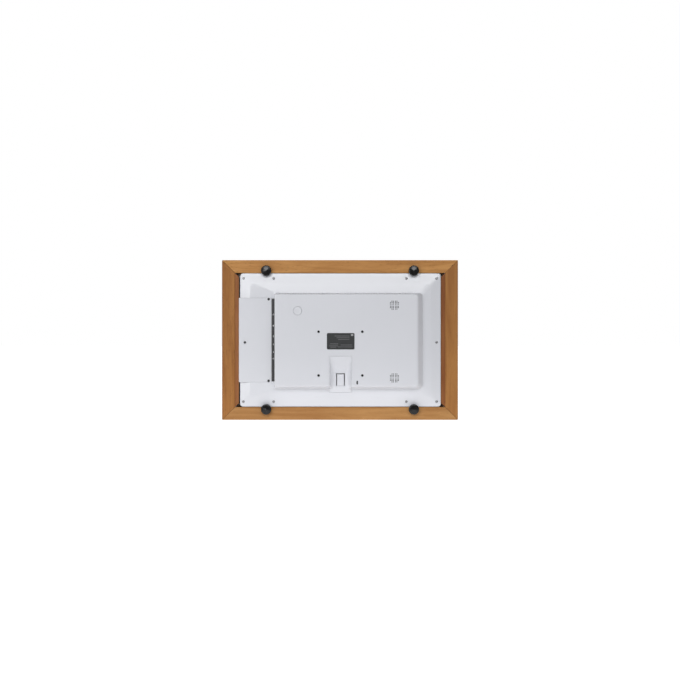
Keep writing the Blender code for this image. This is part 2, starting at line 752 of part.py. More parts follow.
def add_rear_cover():
    """The white moulded back: flat lip, slope, plateau and raised electronics box."""
    mesh = mesh_from("rear_cover", lambda bm: add_shell(bm, cover_rings()))
    cover = add_part("rear_cover", mesh, WHITE)
    shell = cover.modifiers.new("wall", "SOLIDIFY")
    shell.thickness = WALL
    shell.offset = -1.0
    shell.use_even_offset = True

    def pads(bm):
        for x, z in cover_screw_places().values():
            top = cover_height(x, z)
            add_post(bm, x, z, top - PAD_DEPTH, top + PAD_PROUD, PAD_RADIUS, ROUND_SIDES)

    def seats(bm):
        for x, z in cover_screw_places().values():
            top = cover_height(x, z)
            radius = SCREW_HEAD_RADIUS + GAP
            add_post(bm, x, z, top - SCREW_SINK, top + SLOPE_RISE, radius, ROUND_SIDES)

    def recess(bm):
        half = SOCKET_WIDTH / 2 + GAP
        low = (SOCKET_X - half, -SKIRT_DEPTH, SOCKET_BOTTOM - GAP)
        add_block(bm, low, (SOCKET_X + half, BOX_FACE + CASE_STEP, SOCKET_TOP + GAP))

    boolean(cover, helper("cover_pads", mesh_from("cover_pads", pads)), "UNION")
    boolean(cover, helper("cover_seats", mesh_from("cover_seats", seats)))
    boolean(cover, helper("cover_holes", mesh_from("cover_holes", add_cover_holes)))
    boolean(cover, helper("cover_grille", mesh_from("cover_grille", add_grille)))
    boolean(cover, helper("cover_slots", mesh_from("cover_slots", add_cover_slots)))
    boolean(cover, helper("socket_window", mesh_from("socket_window", recess)))
    outline = rectangle(LABEL_WIDTH / 2 + GAP, LABEL_HEIGHT / 2 + GAP, LABEL_RADIUS)
    depth = 2 * (LABEL_THICKNESS + GAP)
    pocket = helper("label_recess", outline_mesh("label_recess", [outline], depth))
    pocket.location = (LABEL_X, BOX_FACE, LABEL_Z)
    boolean(cover, pocket)


def boss_places():
    """Every boss of the chassis: x, z, top, radius and bore."""
    screw_bore = SCREW_SHANK_RADIUS + SLIDING_GAP
    mount_top = BOX_FACE - WALL - GAP
    bosses = [(x, z, mount_top, MOUNT_BOSS_RADIUS, MOUNT_HOLE) for x, z in mount_places()]
    for x, z in cover_screw_places().values():
        bosses.append((x, z, cover_height(x, z) - PAD_DEPTH - GAP, BOSS_RADIUS, screw_bore))
    for x, z in side_screw_places().values():
        bosses.append((x, z, PLATEAU - WALL - GAP, BOSS_RADIUS, screw_bore))
    for sign_x in (-1, 1):
        for sign_z in (-1, 1):
            x = BOARD_X + sign_x * (BOARD_WIDTH / 2 - 2 * BOSS_RADIUS)
            z = sign_z * (BOARD_LENGTH / 2 - 2 * BOSS_RADIUS)
            bosses.append((x, z, BOARD_HEIGHT - GAP, BOSS_RADIUS, screw_bore))
    for sign_z in (-1, 1):
        z = sign_z * (DRIVER_LENGTH / 2 - 2 * BOSS_RADIUS)
        bosses.append((DRIVER_X, z, DRIVER_HEIGHT - GAP, BOSS_RADIUS, screw_bore))
    return bosses


def add_chassis():
    """The steel plate behind the backlight, with a pressed and threaded boss for every screw."""
    loop = rectangle(COVER_HALF_X - CHASSIS_MARGIN, COVER_HALF_Z - CHASSIS_MARGIN)
    chassis = plate("chassis_plate", [loop], CHASSIS_FRONT, CHASSIS_BACK, STEEL)

    def bosses(bm):
        for x, z, top, radius, _ in boss_places():
            add_post(bm, x, z, (CHASSIS_FRONT + CHASSIS_BACK) / 2, top, radius, SMALL_SIDES)

    def bores(bm):
        for x, z, top, _, bore in boss_places():
            add_post(bm, x, z, CHASSIS_FRONT - CASE_STEP, top + CASE_STEP, bore, SMALL_SIDES)

    boolean(chassis, helper("chassis_bosses", mesh_from("chassis_bosses", bosses)), "UNION")
    boolean(chassis, helper("chassis_bores", mesh_from("chassis_bores", bores)))


def heatsink_section():
    """A base with upright fins, as an outline in X and height."""
    half = HEATSINK_SIZE / 2
    step = (HEATSINK_SIZE - HEATSINK_FIN) / (HEATSINK_FINS - 1)
    section = [(half, 0.0), (-half, 0.0)]
    for i in range(HEATSINK_FINS):
        left = i * step - half
        right = left + HEATSINK_FIN
        foot = HEATSINK_BASE
        section += [(left, HEATSINK_HEIGHT), (right, HEATSINK_HEIGHT), (right, foot), (left + step, foot)]
    return section[:-2]


def add_boards():
    """The main board with its heatsink, the lamp driver board and the button's board."""
    half_x = BOARD_WIDTH / 2
    half_z = BOARD_LENGTH / 2
    plate("main_board", [rectangle(half_x, half_z)], BOARD_HEIGHT, BOARD_BACK, BOARD, x=BOARD_X)
    mesh = bar_mesh("heatsink", heatsink_section(), HEATSINK_SIZE)
    add_part("heatsink", mesh, ALUMINIUM, (BOARD_X, BOARD_BACK + GAP, -HEATSINK_SIZE / 2))
    driver = [rectangle(DRIVER_WIDTH / 2, DRIVER_LENGTH / 2)]
    driver_back = DRIVER_HEIGHT + BOARD_THICKNESS
    plate("led_driver_board", driver, DRIVER_HEIGHT, driver_back, BOARD, x=DRIVER_X)
    back = BUTTON_STEM_END - BUTTON_TRAVEL - SWITCH_CLEARANCE
    front = back - BOARD_THICKNESS
    board = plate("button_board", [rectangle(*BUTTON_BOARD_HALF)], front, back, BOARD, BUTTON_X, BUTTON_Z)

    def pillars(bm):
        for sign in (-1, 1):
            x = BUTTON_X + sign * (BUTTON_BOARD_HALF[0] - 2 * PILLAR_RADIUS)
            add_post(bm, x, BUTTON_Z, BOARD_BACK + GAP, front + CASE_STEP / 2, PILLAR_RADIUS, SMALL_SIDES)

    boolean(board, helper("button_pillars", mesh_from("button_pillars", pillars)), "UNION")


def add_speakers():
    """Two round loudspeakers behind their grilles."""
    back = BOX_FACE - WALL - GAP
    rim = SPEAKER_DEPTH / 3
    magnet = SPEAKER_RADIUS * 0.6
    profile = [
        (0.0, 0.0),
        (SPEAKER_RADIUS, 0.0),
        (SPEAKER_RADIUS, -rim),
        (magnet, -rim),
        (magnet, -SPEAKER_DEPTH),
        (0.0, -SPEAKER_DEPTH),
    ]
    for name, z in SPEAKER_OFFSETS.items():
        turned(f"speaker_{name}", profile, DARK, (SPEAKER_X, back, z), ROUND_SIDES)


def port_mouth(name, depth, shell):
    """The mouth of a port as a cutter mesh running along X, open towards +X."""
    z, length, thickness, bore = PORTS[name]
    middle = BOARD_BACK + GAP + thickness / 2
    right = PORT_WALL_OUT + CASE_STEP
    left = PORT_WALL_IN - depth
    if bore:

        def round_mouth(bm):
            matrix = Matrix.Translation(((left + right) / 2, middle, z)) @ Matrix.Rotation(math.pi / 2, 4, "Y")
            bmesh.ops.create_cone(
                bm,
                cap_ends=True,
                segments=ROUND_SIDES,
                radius1=bore,
                radius2=bore,
                depth=right - left,
                matrix=matrix,
            )

        return mesh_from(f"{name}_mouth", round_mouth)
    low = (left, middle - thickness / 2 + shell, z - length / 2 + shell)
    return box_mesh(f"{name}_mouth", low, (right, middle + thickness / 2 - shell, z + length / 2 - shell))


def add_ports():
    """The dark port strip with a mouth for each port, and the port bodies on the main board."""
    low = PLATEAU + GAP
    section = [
        (PORT_WALL_IN, low),
        (STRIP_RIGHT, low),
        (STRIP_RIGHT, low + PORT_STRIP_THICKNESS),
        (PORT_WALL_OUT, low + PORT_STRIP_THICKNESS),
        (PORT_WALL_OUT, low + PORT_WALL_HEIGHT),
        (PORT_WALL_IN, low + PORT_WALL_HEIGHT),
    ]
    strip = add_part("io_plate", bar_mesh("io_plate", section, 2 * PORT_STRIP_HALF), DARK)
    for name, (z, length, thickness, _) in PORTS.items():
        mouth = helper(f"{name}_mouth", port_mouth(name, PORT_DEPTH - 3 * PORT_SHELL, PORT_SHELL))
        boolean(strip, mouth)
        right = PORT_WALL_IN - GAP
        front = BOARD_BACK + GAP
        body = box_mesh(
            name,
            (right - PORT_DEPTH, front, z - length / 2),
            (right, front + thickness, z + length / 2),
        )
        look = BLACK if PORTS[name][3] else STEEL
        boolean(add_part(name, body, look), mouth)


def add_power_button():
    """A round push button behind the raised face, held by its flange."""
    under = -WALL - SLIDING_GAP
    edge = BUTTON_RADIUS - BUTTON_PROUD / 2
    flange = BUTTON_RADIUS + BUTTON_FLANGE
    profile = [
        (0.0, BUTTON_PROUD),
        (edge, BUTTON_PROUD),
        (BUTTON_RADIUS, BUTTON_PROUD / 2),
        (BUTTON_RADIUS, under),
        (flange, under),
        (flange, under - BUTTON_FLANGE_THICKNESS),
        (BUTTON_STEM_RADIUS, under - BUTTON_FLANGE_THICKNESS),
        (BUTTON_STEM_RADIUS, under - BUTTON_FLANGE_THICKNESS - BUTTON_STEM),
        (0.0, under - BUTTON_FLANGE_THICKNESS - BUTTON_STEM),
    ]
    turned("power_button", profile, WHITE, (BUTTON_X, BOX_FACE, BUTTON_Z), KNOB_SIDES)


def scoop_height(z):
    """Height of the scoop's floor below its ramp."""
    return BOX_FACE - RAMP_DEPTH - SCOOP_SLOPE * (RAMP_FOOT - z)


def tapered(mesh):
    """Draw the sides of an X-wide shape in with depth, as the scoop's flanks are."""
    draft = SOCKET_FLANK_RUN / SCOOP_DEPTH
    for vertex in mesh.vertices:
        inwards = draft * (BOX_FACE - vertex.co.y)
        vertex.co.x -= math.copysign(inwards, vertex.co.x)
    return mesh


def add_stand_socket():
    """The moulded scoop that a stand's neck lies in, and its release tab."""
    low = scoop_height(SOCKET_BOTTOM) - SOCKET_FLOOR
    foot = BOX_BOTTOM + BOX_SLOPE_BOTTOM
    tail = scoop_height(BOX_BOTTOM) + TAIL_STEP
    profile = [
        (low, SOCKET_TOP),
        (BOX_FACE, SOCKET_TOP),
        (BOX_FACE, foot),
        (tail, BOX_BOTTOM),
        (tail, SOCKET_BOTTOM),
        (low, SOCKET_BOTTOM),
    ]
    block = side_profile_mesh("stand_socket", profile, SOCKET_WIDTH)
    socket = add_part("stand_socket", block, WHITE, (SOCKET_X, 0.0, 0.0))
    above = BOX_FACE + CASE_STEP
    ramp_top = SOCKET_TOP - SOCKET_RIM
    below = SOCKET_BOTTOM - CASE_STEP
    scoop = [
        (above, ramp_top),
        (BOX_FACE, ramp_top),
        (BOX_FACE - RAMP_DEPTH, RAMP_FOOT),
        (scoop_height(below), below),
        (above, below),
    ]
    width = SOCKET_WIDTH - 2 * SOCKET_RIM
    cutter = helper("socket_scoop", tapered(side_profile_mesh("socket_scoop", scoop, width)))
    cutter.location.x = SOCKET_X
    boolean(socket, cutter)
    half = TAB_WIDTH / 2 + TAB_SLOT
    window = box_mesh(
        "tab_window",
        (-half, low - CASE_STEP, TAB_BOTTOM - GAP),
        (half, BOX_FACE, TAB_TOP + TAB_SLOT),
    )
    opening = helper("tab_window", window)
    opening.location.x = SOCKET_X
    boolean(socket, opening)
    slope = math.atan(SCOOP_SLOPE)
    length = TAB_LENGTH / math.cos(slope)
    tab = box_mesh(
        "release_tab",
        (-TAB_WIDTH / 2, -TAB_THICKNESS / 2, 0.0),
        (TAB_WIDTH / 2, TAB_THICKNESS / 2, length),
    )
    place = (SOCKET_X, scoop_height(TAB_BOTTOM) - TAB_THICKNESS / 2, TAB_BOTTOM)
    add_part("release_tab", tab, WHITE, place, (-slope, 0.0, 0.0))


def add_label():
    """The dark rating label, flush in its recess."""
    loop = rectangle(LABEL_WIDTH / 2, LABEL_HEIGHT / 2, LABEL_RADIUS)
    plate("rating_label", [loop], BOX_FACE - LABEL_THICKNESS, BOX_FACE, DARK, LABEL_X, LABEL_Z)


def add_side_cover():
    """The plate over the side, level with the plateau and folded down at the module's edge."""
    right = OPENING_HALF_X - SPACER_WIDTH - 2 * GAP
    section = [
        (SIDE_COVER_LEFT, PLATEAU - WALL),
        (SIDE_COVER_LEFT, PLATEAU),
        (right, PLATEAU),
        (right, -SKIRT_DEPTH),
        (right - WALL, -SKIRT_DEPTH),
        (right - WALL, PLATEAU - WALL),
    ]
    cover = add_part("side_cover", bar_mesh("side_cover", section, 2 * SIDE_COVER_HALF), WHITE)

    def holes(bm):
        for x, z in side_screw_places().values():
            add_post(bm, x, z, 0.0, PLATEAU + CASE_STEP, SCREW_SHANK_RADIUS + SLIDING_GAP, SMALL_SIDES)

    boolean(cover, helper("side_cover_holes", mesh_from("side_cover_holes", holes)))


def screw_profile(head_radius, head_height):
    """A screw from its head down to its end, its seat at height 0."""
    return [
        (0.0, head_height),
        (head_radius * 0.75, head_height),
        (head_radius, head_height * 0.4),
        (head_radius, 0.0),
        (SCREW_SHANK_RADIUS, 0.0),
        (SCREW_SHANK_RADIUS, -SCREW_LENGTH),
        (0.0, -SCREW_LENGTH),
    ]


def add_screws():
    """The rear cover's sunk screws and the side cover's bold black ones."""
    small = screw_profile(SCREW_HEAD_RADIUS, SCREW_HEAD_HEIGHT)
    for name, (x, z) in cover_screw_places().items():
        seat = cover_height(x, z) - SCREW_SINK + GAP
        turned(name, small, STEEL, (x, seat, z), SMALL_SIDES)
    bold = screw_profile(BLACK_HEAD_RADIUS, BLACK_HEAD_HEIGHT)
    for name, (x, z) in side_screw_places().items():
        turned(name, bold, BLACK, (x, PLATEAU + GAP, z), ROUND_SIDES)


def add_thumbscrews():
    """Four thumbscrews on captive washers clamp the module's lip against the wood."""
    base = GAP + WASHER_THICKNESS + GAP
    soft = KNOB_RADIUS - KNOB_ROUNDING
    knob = [(0.0, KNOB_HEIGHT)]
    knob += [
        (radius, height)
        for radius, height in reversed(arc((soft, KNOB_HEIGHT - KNOB_ROUNDING), KNOB_ROUNDING, 0.0, math.pi / 2, 2))
    ]
    knob += [(KNOB_RADIUS, 0.0), (STUD_RADIUS, 0.0), (STUD_RADIUS, -STUD_LENGTH), (0.0, -STUD_LENGTH)]
    washer_bore = STUD_RADIUS + SLIDING_GAP
    washer = [
        (washer_bore, WASHER_THICKNESS),
        (WASHER_RADIUS, WASHER_THICKNESS),
        (WASHER_RADIUS, 0.0),
        (washer_bore, 0.0),
    ]
    insert_bore = STUD_RADIUS + GAP
    insert = [
        (insert_bore, -GAP),
        (INSERT_RADIUS, -GAP),
        (INSERT_RADIUS, -INSERT_LENGTH),
        (insert_bore, -INSERT_LENGTH),
    ]
    for name, (x, z) in knob_places().items():
        turned(f"thumb_knob_{name}", knob, BLACK, (x, base, z), KNOB_SIDES)
        turned(f"knob_washer_{name}", washer, BLACK, (x, GAP, z), ROUND_SIDES, closed=True)
        turned(f"frame_insert_{name}", insert, BRASS, (x, 0.0, z), SMALL_SIDES, closed=True)


def main():
    add_surround()
    add_spacers()
    add_front_glass()
    add_front_housing()
    add_screen()
    add_chassis()
    add_boards()
    add_speakers()
    add_ports()
    add_rear_cover()
    add_side_cover()
    add_stand_socket()
    add_power_button()
    add_label()
    add_screws()
    add_thumbscrews()


main()
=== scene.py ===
"""Looks for a digital photo frame: mitred oak, white moulded covers and black thumbscrews.

Metres, +Z up. The screen faces -Y and the back faces +Y. Meshes are made about the middle of the
surround's rear face, so in them y is the height above that face.
"""

import math

import bmesh
import bpy
from bpy.props import FloatProperty, FloatVectorProperty, IntProperty, PointerProperty
from mathutils import Matrix, Vector


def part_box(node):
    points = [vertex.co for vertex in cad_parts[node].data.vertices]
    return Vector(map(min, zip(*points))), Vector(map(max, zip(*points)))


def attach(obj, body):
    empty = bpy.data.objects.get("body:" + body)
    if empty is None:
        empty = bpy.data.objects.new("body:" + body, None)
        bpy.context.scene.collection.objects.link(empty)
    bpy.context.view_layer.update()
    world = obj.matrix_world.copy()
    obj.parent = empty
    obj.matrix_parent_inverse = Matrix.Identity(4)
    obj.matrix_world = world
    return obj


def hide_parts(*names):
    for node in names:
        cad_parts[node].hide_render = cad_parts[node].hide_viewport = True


bl_info = {
    "name": "Digital photo frame",
    "version": (1, 0, 0),
    "blender": (4, 5, 0),
    "location": "3D View > Sidebar > Photo frame",
    "description": "Builds the finished pieces of a digital photo frame round its solid model",
    "category": "Object",
}

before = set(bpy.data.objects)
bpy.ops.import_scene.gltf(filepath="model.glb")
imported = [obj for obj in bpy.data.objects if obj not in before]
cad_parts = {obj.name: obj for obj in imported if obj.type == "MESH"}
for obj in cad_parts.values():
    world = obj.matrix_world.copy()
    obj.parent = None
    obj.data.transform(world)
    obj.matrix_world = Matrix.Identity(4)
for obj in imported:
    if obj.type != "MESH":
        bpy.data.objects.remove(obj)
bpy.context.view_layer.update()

# Taken from the solid model
RAIL_LOW, RAIL_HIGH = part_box("frame_top_rail")
LEFT_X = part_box("frame_left_stile")[0].x
RIGHT_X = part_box("frame_right_stile")[1].x
REAR_Y = RAIL_HIGH.y
FRAME_WIDTH = RIGHT_X - LEFT_X
FRAME_DEPTH = RAIL_HIGH.y - RAIL_LOW.y
FRAME_HEIGHT = RAIL_HIGH.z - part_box("frame_bottom_rail")[0].z
MIDDLE = Vector((0.0, REAR_Y, RAIL_HIGH.z - FRAME_HEIGHT / 2))

# Wooden surround
RAIL_WIDTH = 0.0295
FACE_WIDTH = 0.044
LIP_DEPTH = 0.010
LIP_BACK = LIP_DEPTH - FRAME_DEPTH
SPACER_WIDTH = 0.0092
SPACER_FRONT = LIP_BACK + 0.0052
OPENING_HALF_X = FRAME_WIDTH / 2 - RAIL_WIDTH
OPENING_HALF_Z = FRAME_HEIGHT / 2 - RAIL_WIDTH
GAP = 0.0003
SLIDING_GAP = 0.0004
MODULE_GAP = 0.0010
SIDE_INSET = 0.002

# White rear cover
WALL = 0.0022
SKIRT_DEPTH = 0.0045
COVER_HALF_X = OPENING_HALF_X - SPACER_WIDTH - MODULE_GAP
COVER_HALF_Z = OPENING_HALF_Z - MODULE_GAP
COVER_RIGHT = COVER_HALF_X - SIDE_INSET
CORNER_RADIUS = 0.007
EDGE_DROP = 0.0012
LIP_END = 0.007
LIP_RISE = 0.0001
SLOPE_END = 0.023
SLOPE_TOP = 0.0036
PLATEAU = 0.006
BOX_HEIGHT = 0.022
BOX_FACE = PLATEAU + BOX_HEIGHT
BOX_LOW_X = -0.1905
BOX_HIGH_X = 0.1497
BOX_LOW_Z = -0.1123
BOX_HIGH_Z = 0.1081
BOX_SMALL_RADIUS = 0.002
BOX_LARGE_RADIUS = 0.009
# Each wall of the raised box: how far it leans in, its foot fillet and its top rounding
BOX_WALLS = {
    "low_x": (0.012, 0.0030, 0.0060),
    "high_x": (0.0, 0.0, 0.0028),
    "low_z": (0.006, 0.0020, 0.0034),
    "high_z": (0.0030, 0.0012, 0.0034),
}
VENT_COUNT = 53
VENT_PITCH = 0.0060
VENT_WIDTH = 0.0034
VENT_LOW = 0.0078
VENT_HIGH = 0.0238
LOCK_X = -0.0393
LOCK_Z = -0.0973
LOCK_WIDTH = 0.0036
LOCK_HEIGHT = 0.0086

# Screws
SCREW_X = COVER_HALF_X - 0.0098
SCREW_Z = COVER_HALF_Z - 0.0118
SCREW_SPAN_X = 0.1531
SCREW_MIDDLE_DROP = 0.0055
SCREW_SINK = 0.0011
SCREW_RADIUS = 0.0030
SHANK_RADIUS = 0.0012
SCREW_LENGTH = 0.0075
SCREW_BRIM = 0.00035
BLACK_RADIUS = 0.0029
MOUNT_X = -0.0010
MOUNT_HALF = 0.050
MOUNT_DROP = 0.031
MOUNT_HOLE = 0.0030
MOUNT_BORE = 0.0020

# Side cover and port strip
SIDE_COVER_HALF = 0.0969
STRIP_HALF = 0.0951
STRIP_RIGHT = BOX_HIGH_X + 0.0077
STRIP_THICKNESS = 0.0012
STRIP_WALL_OUT = BOX_HIGH_X - GAP
STRIP_WALL_IN = STRIP_WALL_OUT - 0.0016
STRIP_WALL_HEIGHT = 0.0174
BOARD_BACK = 0.0096
PORT_DEPTH = 0.012
# Height along the strip, length, thickness and round bore of each port
PORTS = {
    "dc_jack": (0.0585, 0.0100, 0.0110, 0.0032),
    "card_slot": (0.0330, 0.0270, 0.0042, 0.0),
    "hdmi_port": (0.0085, 0.0155, 0.0062, 0.0),
    "usb_port_1": (-0.0100, 0.0136, 0.0066, 0.0),
    "usb_port_2": (-0.0275, 0.0136, 0.0066, 0.0),
    "audio_jack": (-0.0430, 0.0075, 0.0070, 0.0019),
}

# Speakers, button and label
SPEAKER_X = -0.1244
SPEAKER_Z = (0.0797, -0.0867)
GRILLE_RADIUS = 0.0125
GRILLE_PITCH = 0.0033
GRILLE_CROSS = 0.0024
GRILLE_HOLE = 0.00115
BUTTON_X = 0.0967
BUTTON_Z = 0.0667
BUTTON_RADIUS = 0.0096
BUTTON_PROUD = 0.0014
BUTTON_ROUNDING = 0.0009
BUTTON_DISH = 0.00045
FLANGE_WIDTH = 0.0018
FLANGE_THICKNESS = 0.0014
LABEL_WIDTH = 0.063
LABEL_HEIGHT = 0.0372
LABEL_X = -0.0016
LABEL_Z = -0.0029
LABEL_RADIUS = 0.003
LABEL_THICKNESS = 0.0005
BADGE_X = -0.0262
BADGE_Z = 0.0143

# Stand socket
SOCKET_X = -0.0012
SOCKET_HALF = 0.026
SOCKET_TOP = -0.0370
SOCKET_BOTTOM = -0.1209
SOCKET_RIM = 0.0012
RAMP_FOOT = -0.0680
RAMP_DEPTH = 0.0135
SCOOP_FOOT = 0.0090
TONGUE_END = 0.0064
FLANK_RUN = 0.0125
SOCKET_UNDER = 0.0036
TAB_WIDTH = 0.0159
TAB_SLOT = 0.0021
TAB_LOW = -0.1052
TAB_HIGH = -0.0787
TAB_THICKNESS = 0.0022
# Ribs across the foot of the scoop, and low bumps on its ramp
RIB_Z = -0.1125
RIB_BAND = 0.0050
RIB_PITCH = 0.0044
RIB_HEIGHT = 0.00022
BUMP_Z = -0.0682
BUMP_PITCH = 0.0059
BUMP_HEIGHT = 0.0016
# Raised grip on the tab: height, place along the tab and spread, as shares of its length
GRIP_HEIGHT = 0.0006
GRIP_PLACE = 0.88
GRIP_SPREAD = 0.055

# Thumbscrews
KNOB_X = 0.170
KNOB_Z = COVER_HALF_Z + 0.0058
KNOB_RADIUS = 0.012
KNOB_HEIGHT = 0.012
WASHER_RADIUS = 0.0115
WASHER_THICKNESS = 0.0012
STUD_RADIUS = 0.002
STUD_LENGTH = 0.012
STUD_PITCH = 0.0007
THREAD_DEPTH = 0.00034
INSERT_RADIUS = 0.0038
INSERT_LENGTH = 0.013

# Light from all round: strength, colour and the ramps that bound each lobe, each ramp as
# (axis, dark end, bright end)
NEUTRAL = (1.0, 0.992, 0.98)
COOL = (0.955, 0.972, 1.0)
SKY_LOBES = (
    (0.16, COOL, ()),
    (0.80, NEUTRAL, (("Y", 0.0, -0.6),)),
)
# How strongly the floor shines on the frame: strength and the ends of the ramps along Y
FLOOR_GLOW = ((0.75, (0.32, 0.15), (-0.5, -0.2)),)
# Softboxes: place from the middle of the surround's back, width, height and brightness
LAMPS = {
    "top_strip": ((0.0, 1.6, 0.75), 1.6, 0.55, 4.8),
    "side_strip": ((0.95, 1.6, 0.0), 0.55, 1.2, 4.4),
}


class SurroundSettings(bpy.types.PropertyGroup):
    """Sizes and colours of the wooden surround."""

    edge: FloatProperty(
        name="Edge rounding",
        description="Radius of the surround's outer edges",
        default=0.0012,
        min=0.0004,
        unit="LENGTH",
    )
    light: FloatVectorProperty(
        name="Light wood",
        description="Colour of the pale growth",
        default=(0.520, 0.290, 0.128),
        size=3,
        subtype="COLOR",
    )
    dark: FloatVectorProperty(
        name="Dark wood",
        description="Colour of the dark growth",
        default=(0.345, 0.160, 0.056),
        size=3,
        subtype="COLOR",
    )


class CoverSettings(bpy.types.PropertyGroup):
    """Finish of the white mouldings."""

    colour: FloatVectorProperty(
        name="Plastic",
        description="Colour of the white covers",
        default=(0.775, 0.787, 0.835),
        size=3,
        subtype="COLOR",
    )
    roughness: FloatProperty(
        name="Roughness",
        description="How matt the covers are",
        default=0.42,
        min=0.0,
        max=1.0,
        subtype="FACTOR",
    )
    slope_softness: FloatProperty(
        name="Slope rounding",
        description="Radius where the lip, the slope and the plateau meet",
        default=0.022,
        min=0.002,
        unit="LENGTH",
    )


class KnobSettings(bpy.types.PropertyGroup):
    """Shape and finish of the thumbscrews."""

    flutes: IntProperty(
        name="Flutes",
        description="Grip grooves round each knob",
        default=40,
        min=6,
    )
    flute_depth: FloatProperty(
        name="Flute depth",
        description="Depth of a grip groove",
        default=0.00035,
        min=0.0,
        unit="LENGTH",
    )
    colour: FloatVectorProperty(
        name="Knob",
        description="Colour of the knobs",
        default=(0.0065, 0.006, 0.006),
        size=3,
        subtype="COLOR",
    )


class LabelSettings(bpy.types.PropertyGroup):
    """Colours of the blank rating label."""

    ground: FloatVectorProperty(
        name="Label",
        description="Colour of the label's ground",
        default=(0.027, 0.029, 0.031),
        size=3,
        subtype="COLOR",
    )
    print_colour: FloatVectorProperty(
        name="Print",
        description="Colour of the label's blank bars",
        default=(0.22, 0.22, 0.23),
        size=3,
        subtype="COLOR",
    )


class StudioSettings(bpy.types.PropertyGroup):
    """Camera and light."""

    distance: FloatProperty(
        name="Camera distance",
        description="From the surround's rear face to the camera",
        default=2.6,
        min=0.5,
        unit="LENGTH",
    )
    span: FloatProperty(
        name="Picture width",
        description="Width that the picture takes in at the surround's rear face",
        default=1.5703,
        min=0.1,
        unit="LENGTH",
    )
    fill: FloatProperty(
        name="Fill light",
        description="Strength of the light from all round",
        default=1.0,
        min=0.0,
    )


# Small tools for outlines and meshes


def arc(centre, radius, start, sweep, steps):
    """Points along an arc, both ends included."""
    angles = [start + sweep * i / steps for i in range(steps + 1)]
    return [(centre[0] + radius * math.cos(a), centre[1] + radius * math.sin(a)) for a in angles]


def rounded(low_x, high_x, low_z, high_z, radii, steps):
    """A rectangle with a radius at each corner, from the upper right one anticlockwise."""
    points = []
    for turn, (sign_x, sign_z) in enumerate(((1, 1), (-1, 1), (-1, -1), (1, -1))):
        radius = radii[turn]
        x = high_x - radius if sign_x > 0 else low_x + radius
        z = high_z - radius if sign_z > 0 else low_z + radius
        points += arc((x, z), radius, turn * math.pi / 2, math.pi / 2, steps)
    return points


def filleted(points, radii, steps=4, closed=True):
    """A line of points with each corner turned into an arc."""
    made = []
    last = len(points) - 1
    for i, (point, radius) in enumerate(zip(points, radii)):
        corner = Vector(point)
        if radius == 0.0 or (not closed and i in (0, last)):
            made.append(tuple(corner))
            continue
        before = (Vector(points[i - 1]) - corner).normalized()
        after = (Vector(points[(i + 1) % len(points)]) - corner).normalized()
        half = before.angle(after) / 2
        centre = corner + (before + after).normalized() * (radius / math.sin(half))
        first_spoke = corner + before * (radius / math.tan(half)) - centre
        last_spoke = corner + after * (radius / math.tan(half)) - centre
        sweep = math.pi - 2 * half
        for step in range(steps + 1):
            turn = sweep * step / steps
            spoke = first_spoke * math.sin(sweep - turn) + last_spoke * math.sin(turn)
            made.append(tuple(centre + spoke / math.sin(sweep)))
    return made


def between(value, knots):
    """The second number of a list of pairs, read off at a value of the first."""
    if value <= knots[0][0]:
        return knots[0][1]
    for (start, low), (end, high) in zip(knots, knots[1:]):
        if value <= end:
            if end == start:
                continue
            return low + (high - low) * (value - start) / (end - start)
    return knots[-1][1]


def mesh_from(name, build):
    """A mesh filled by a function that takes a bmesh."""
    bm = bmesh.new()
    build(bm)
    bmesh.ops.recalc_face_normals(bm, faces=bm.faces)
    mesh = bpy.data.meshes.new(name)
    bm.to_mesh(mesh)
    bm.free()
    return mesh


def add_prism(bm, loop, place):
    """A closed solid between two copies of a loop; place(point, end) puts each vertex."""
    ends = [[bm.verts.new(place(point, end)) for point in loop] for end in (0, 1)]
    for i in range(len(loop)):
        j = (i + 1) % len(loop)
        bm.faces.new((ends[0][i], ends[0][j], ends[1][j], ends[1][i]))
    bm.faces.new(ends[0][::-1])
    bm.faces.new(ends[1])


def add_plate(bm, loop, low, high, x=0.0, z=0.0):
    """A plate in XZ between two heights."""
    add_prism(bm, loop, lambda point, end: (x + point[0], high if end else low, z + point[1]))


def add_bar(bm, section, low, high):
    """A section in X and height drawn out along Z."""
    add_prism(bm, section, lambda point, end: (point[0], point[1], high if end else low))


def add_block(bm, low, high):
    """A box between two corners."""
    loop = [(low[0], low[2]), (high[0], low[2]), (high[0], high[2]), (low[0], high[2])]
    add_plate(bm, loop, low[1], high[1])


def add_turned(bm, profile, x, z, sides, ripple=None):
    """A shape turned about Y from (radius, height) pairs.

    ripple(radius, height, angle) gives an altered radius.
    """
    rings = []
    for radius, height in profile:
        if radius == 0.0:
            rings.append([bm.verts.new((x, height, z))])
            continue
        ring = []
        for i in range(sides):
            angle = 2 * math.pi * i / sides
            reach = ripple(radius, height, angle) if ripple else radius
            ring.append(
                bm.verts.new((x + reach * math.cos(angle), height, z + reach * math.sin(angle)))
            )
        rings.append(ring)
    pairs = list(zip(rings, rings[1:]))
    if profile[0][0] and profile[-1][0]:
        pairs.append((rings[-1], rings[0]))
    for first, second in pairs:
        for i in range(sides):
            j = (i + 1) % sides
            if len(first) == 1:
                bm.faces.new((first[0], second[j], second[i]))
            elif len(second) == 1:
                bm.faces.new((first[i], first[j], second[0]))
            else:
                bm.faces.new((first[i], first[j], second[j], second[i]))


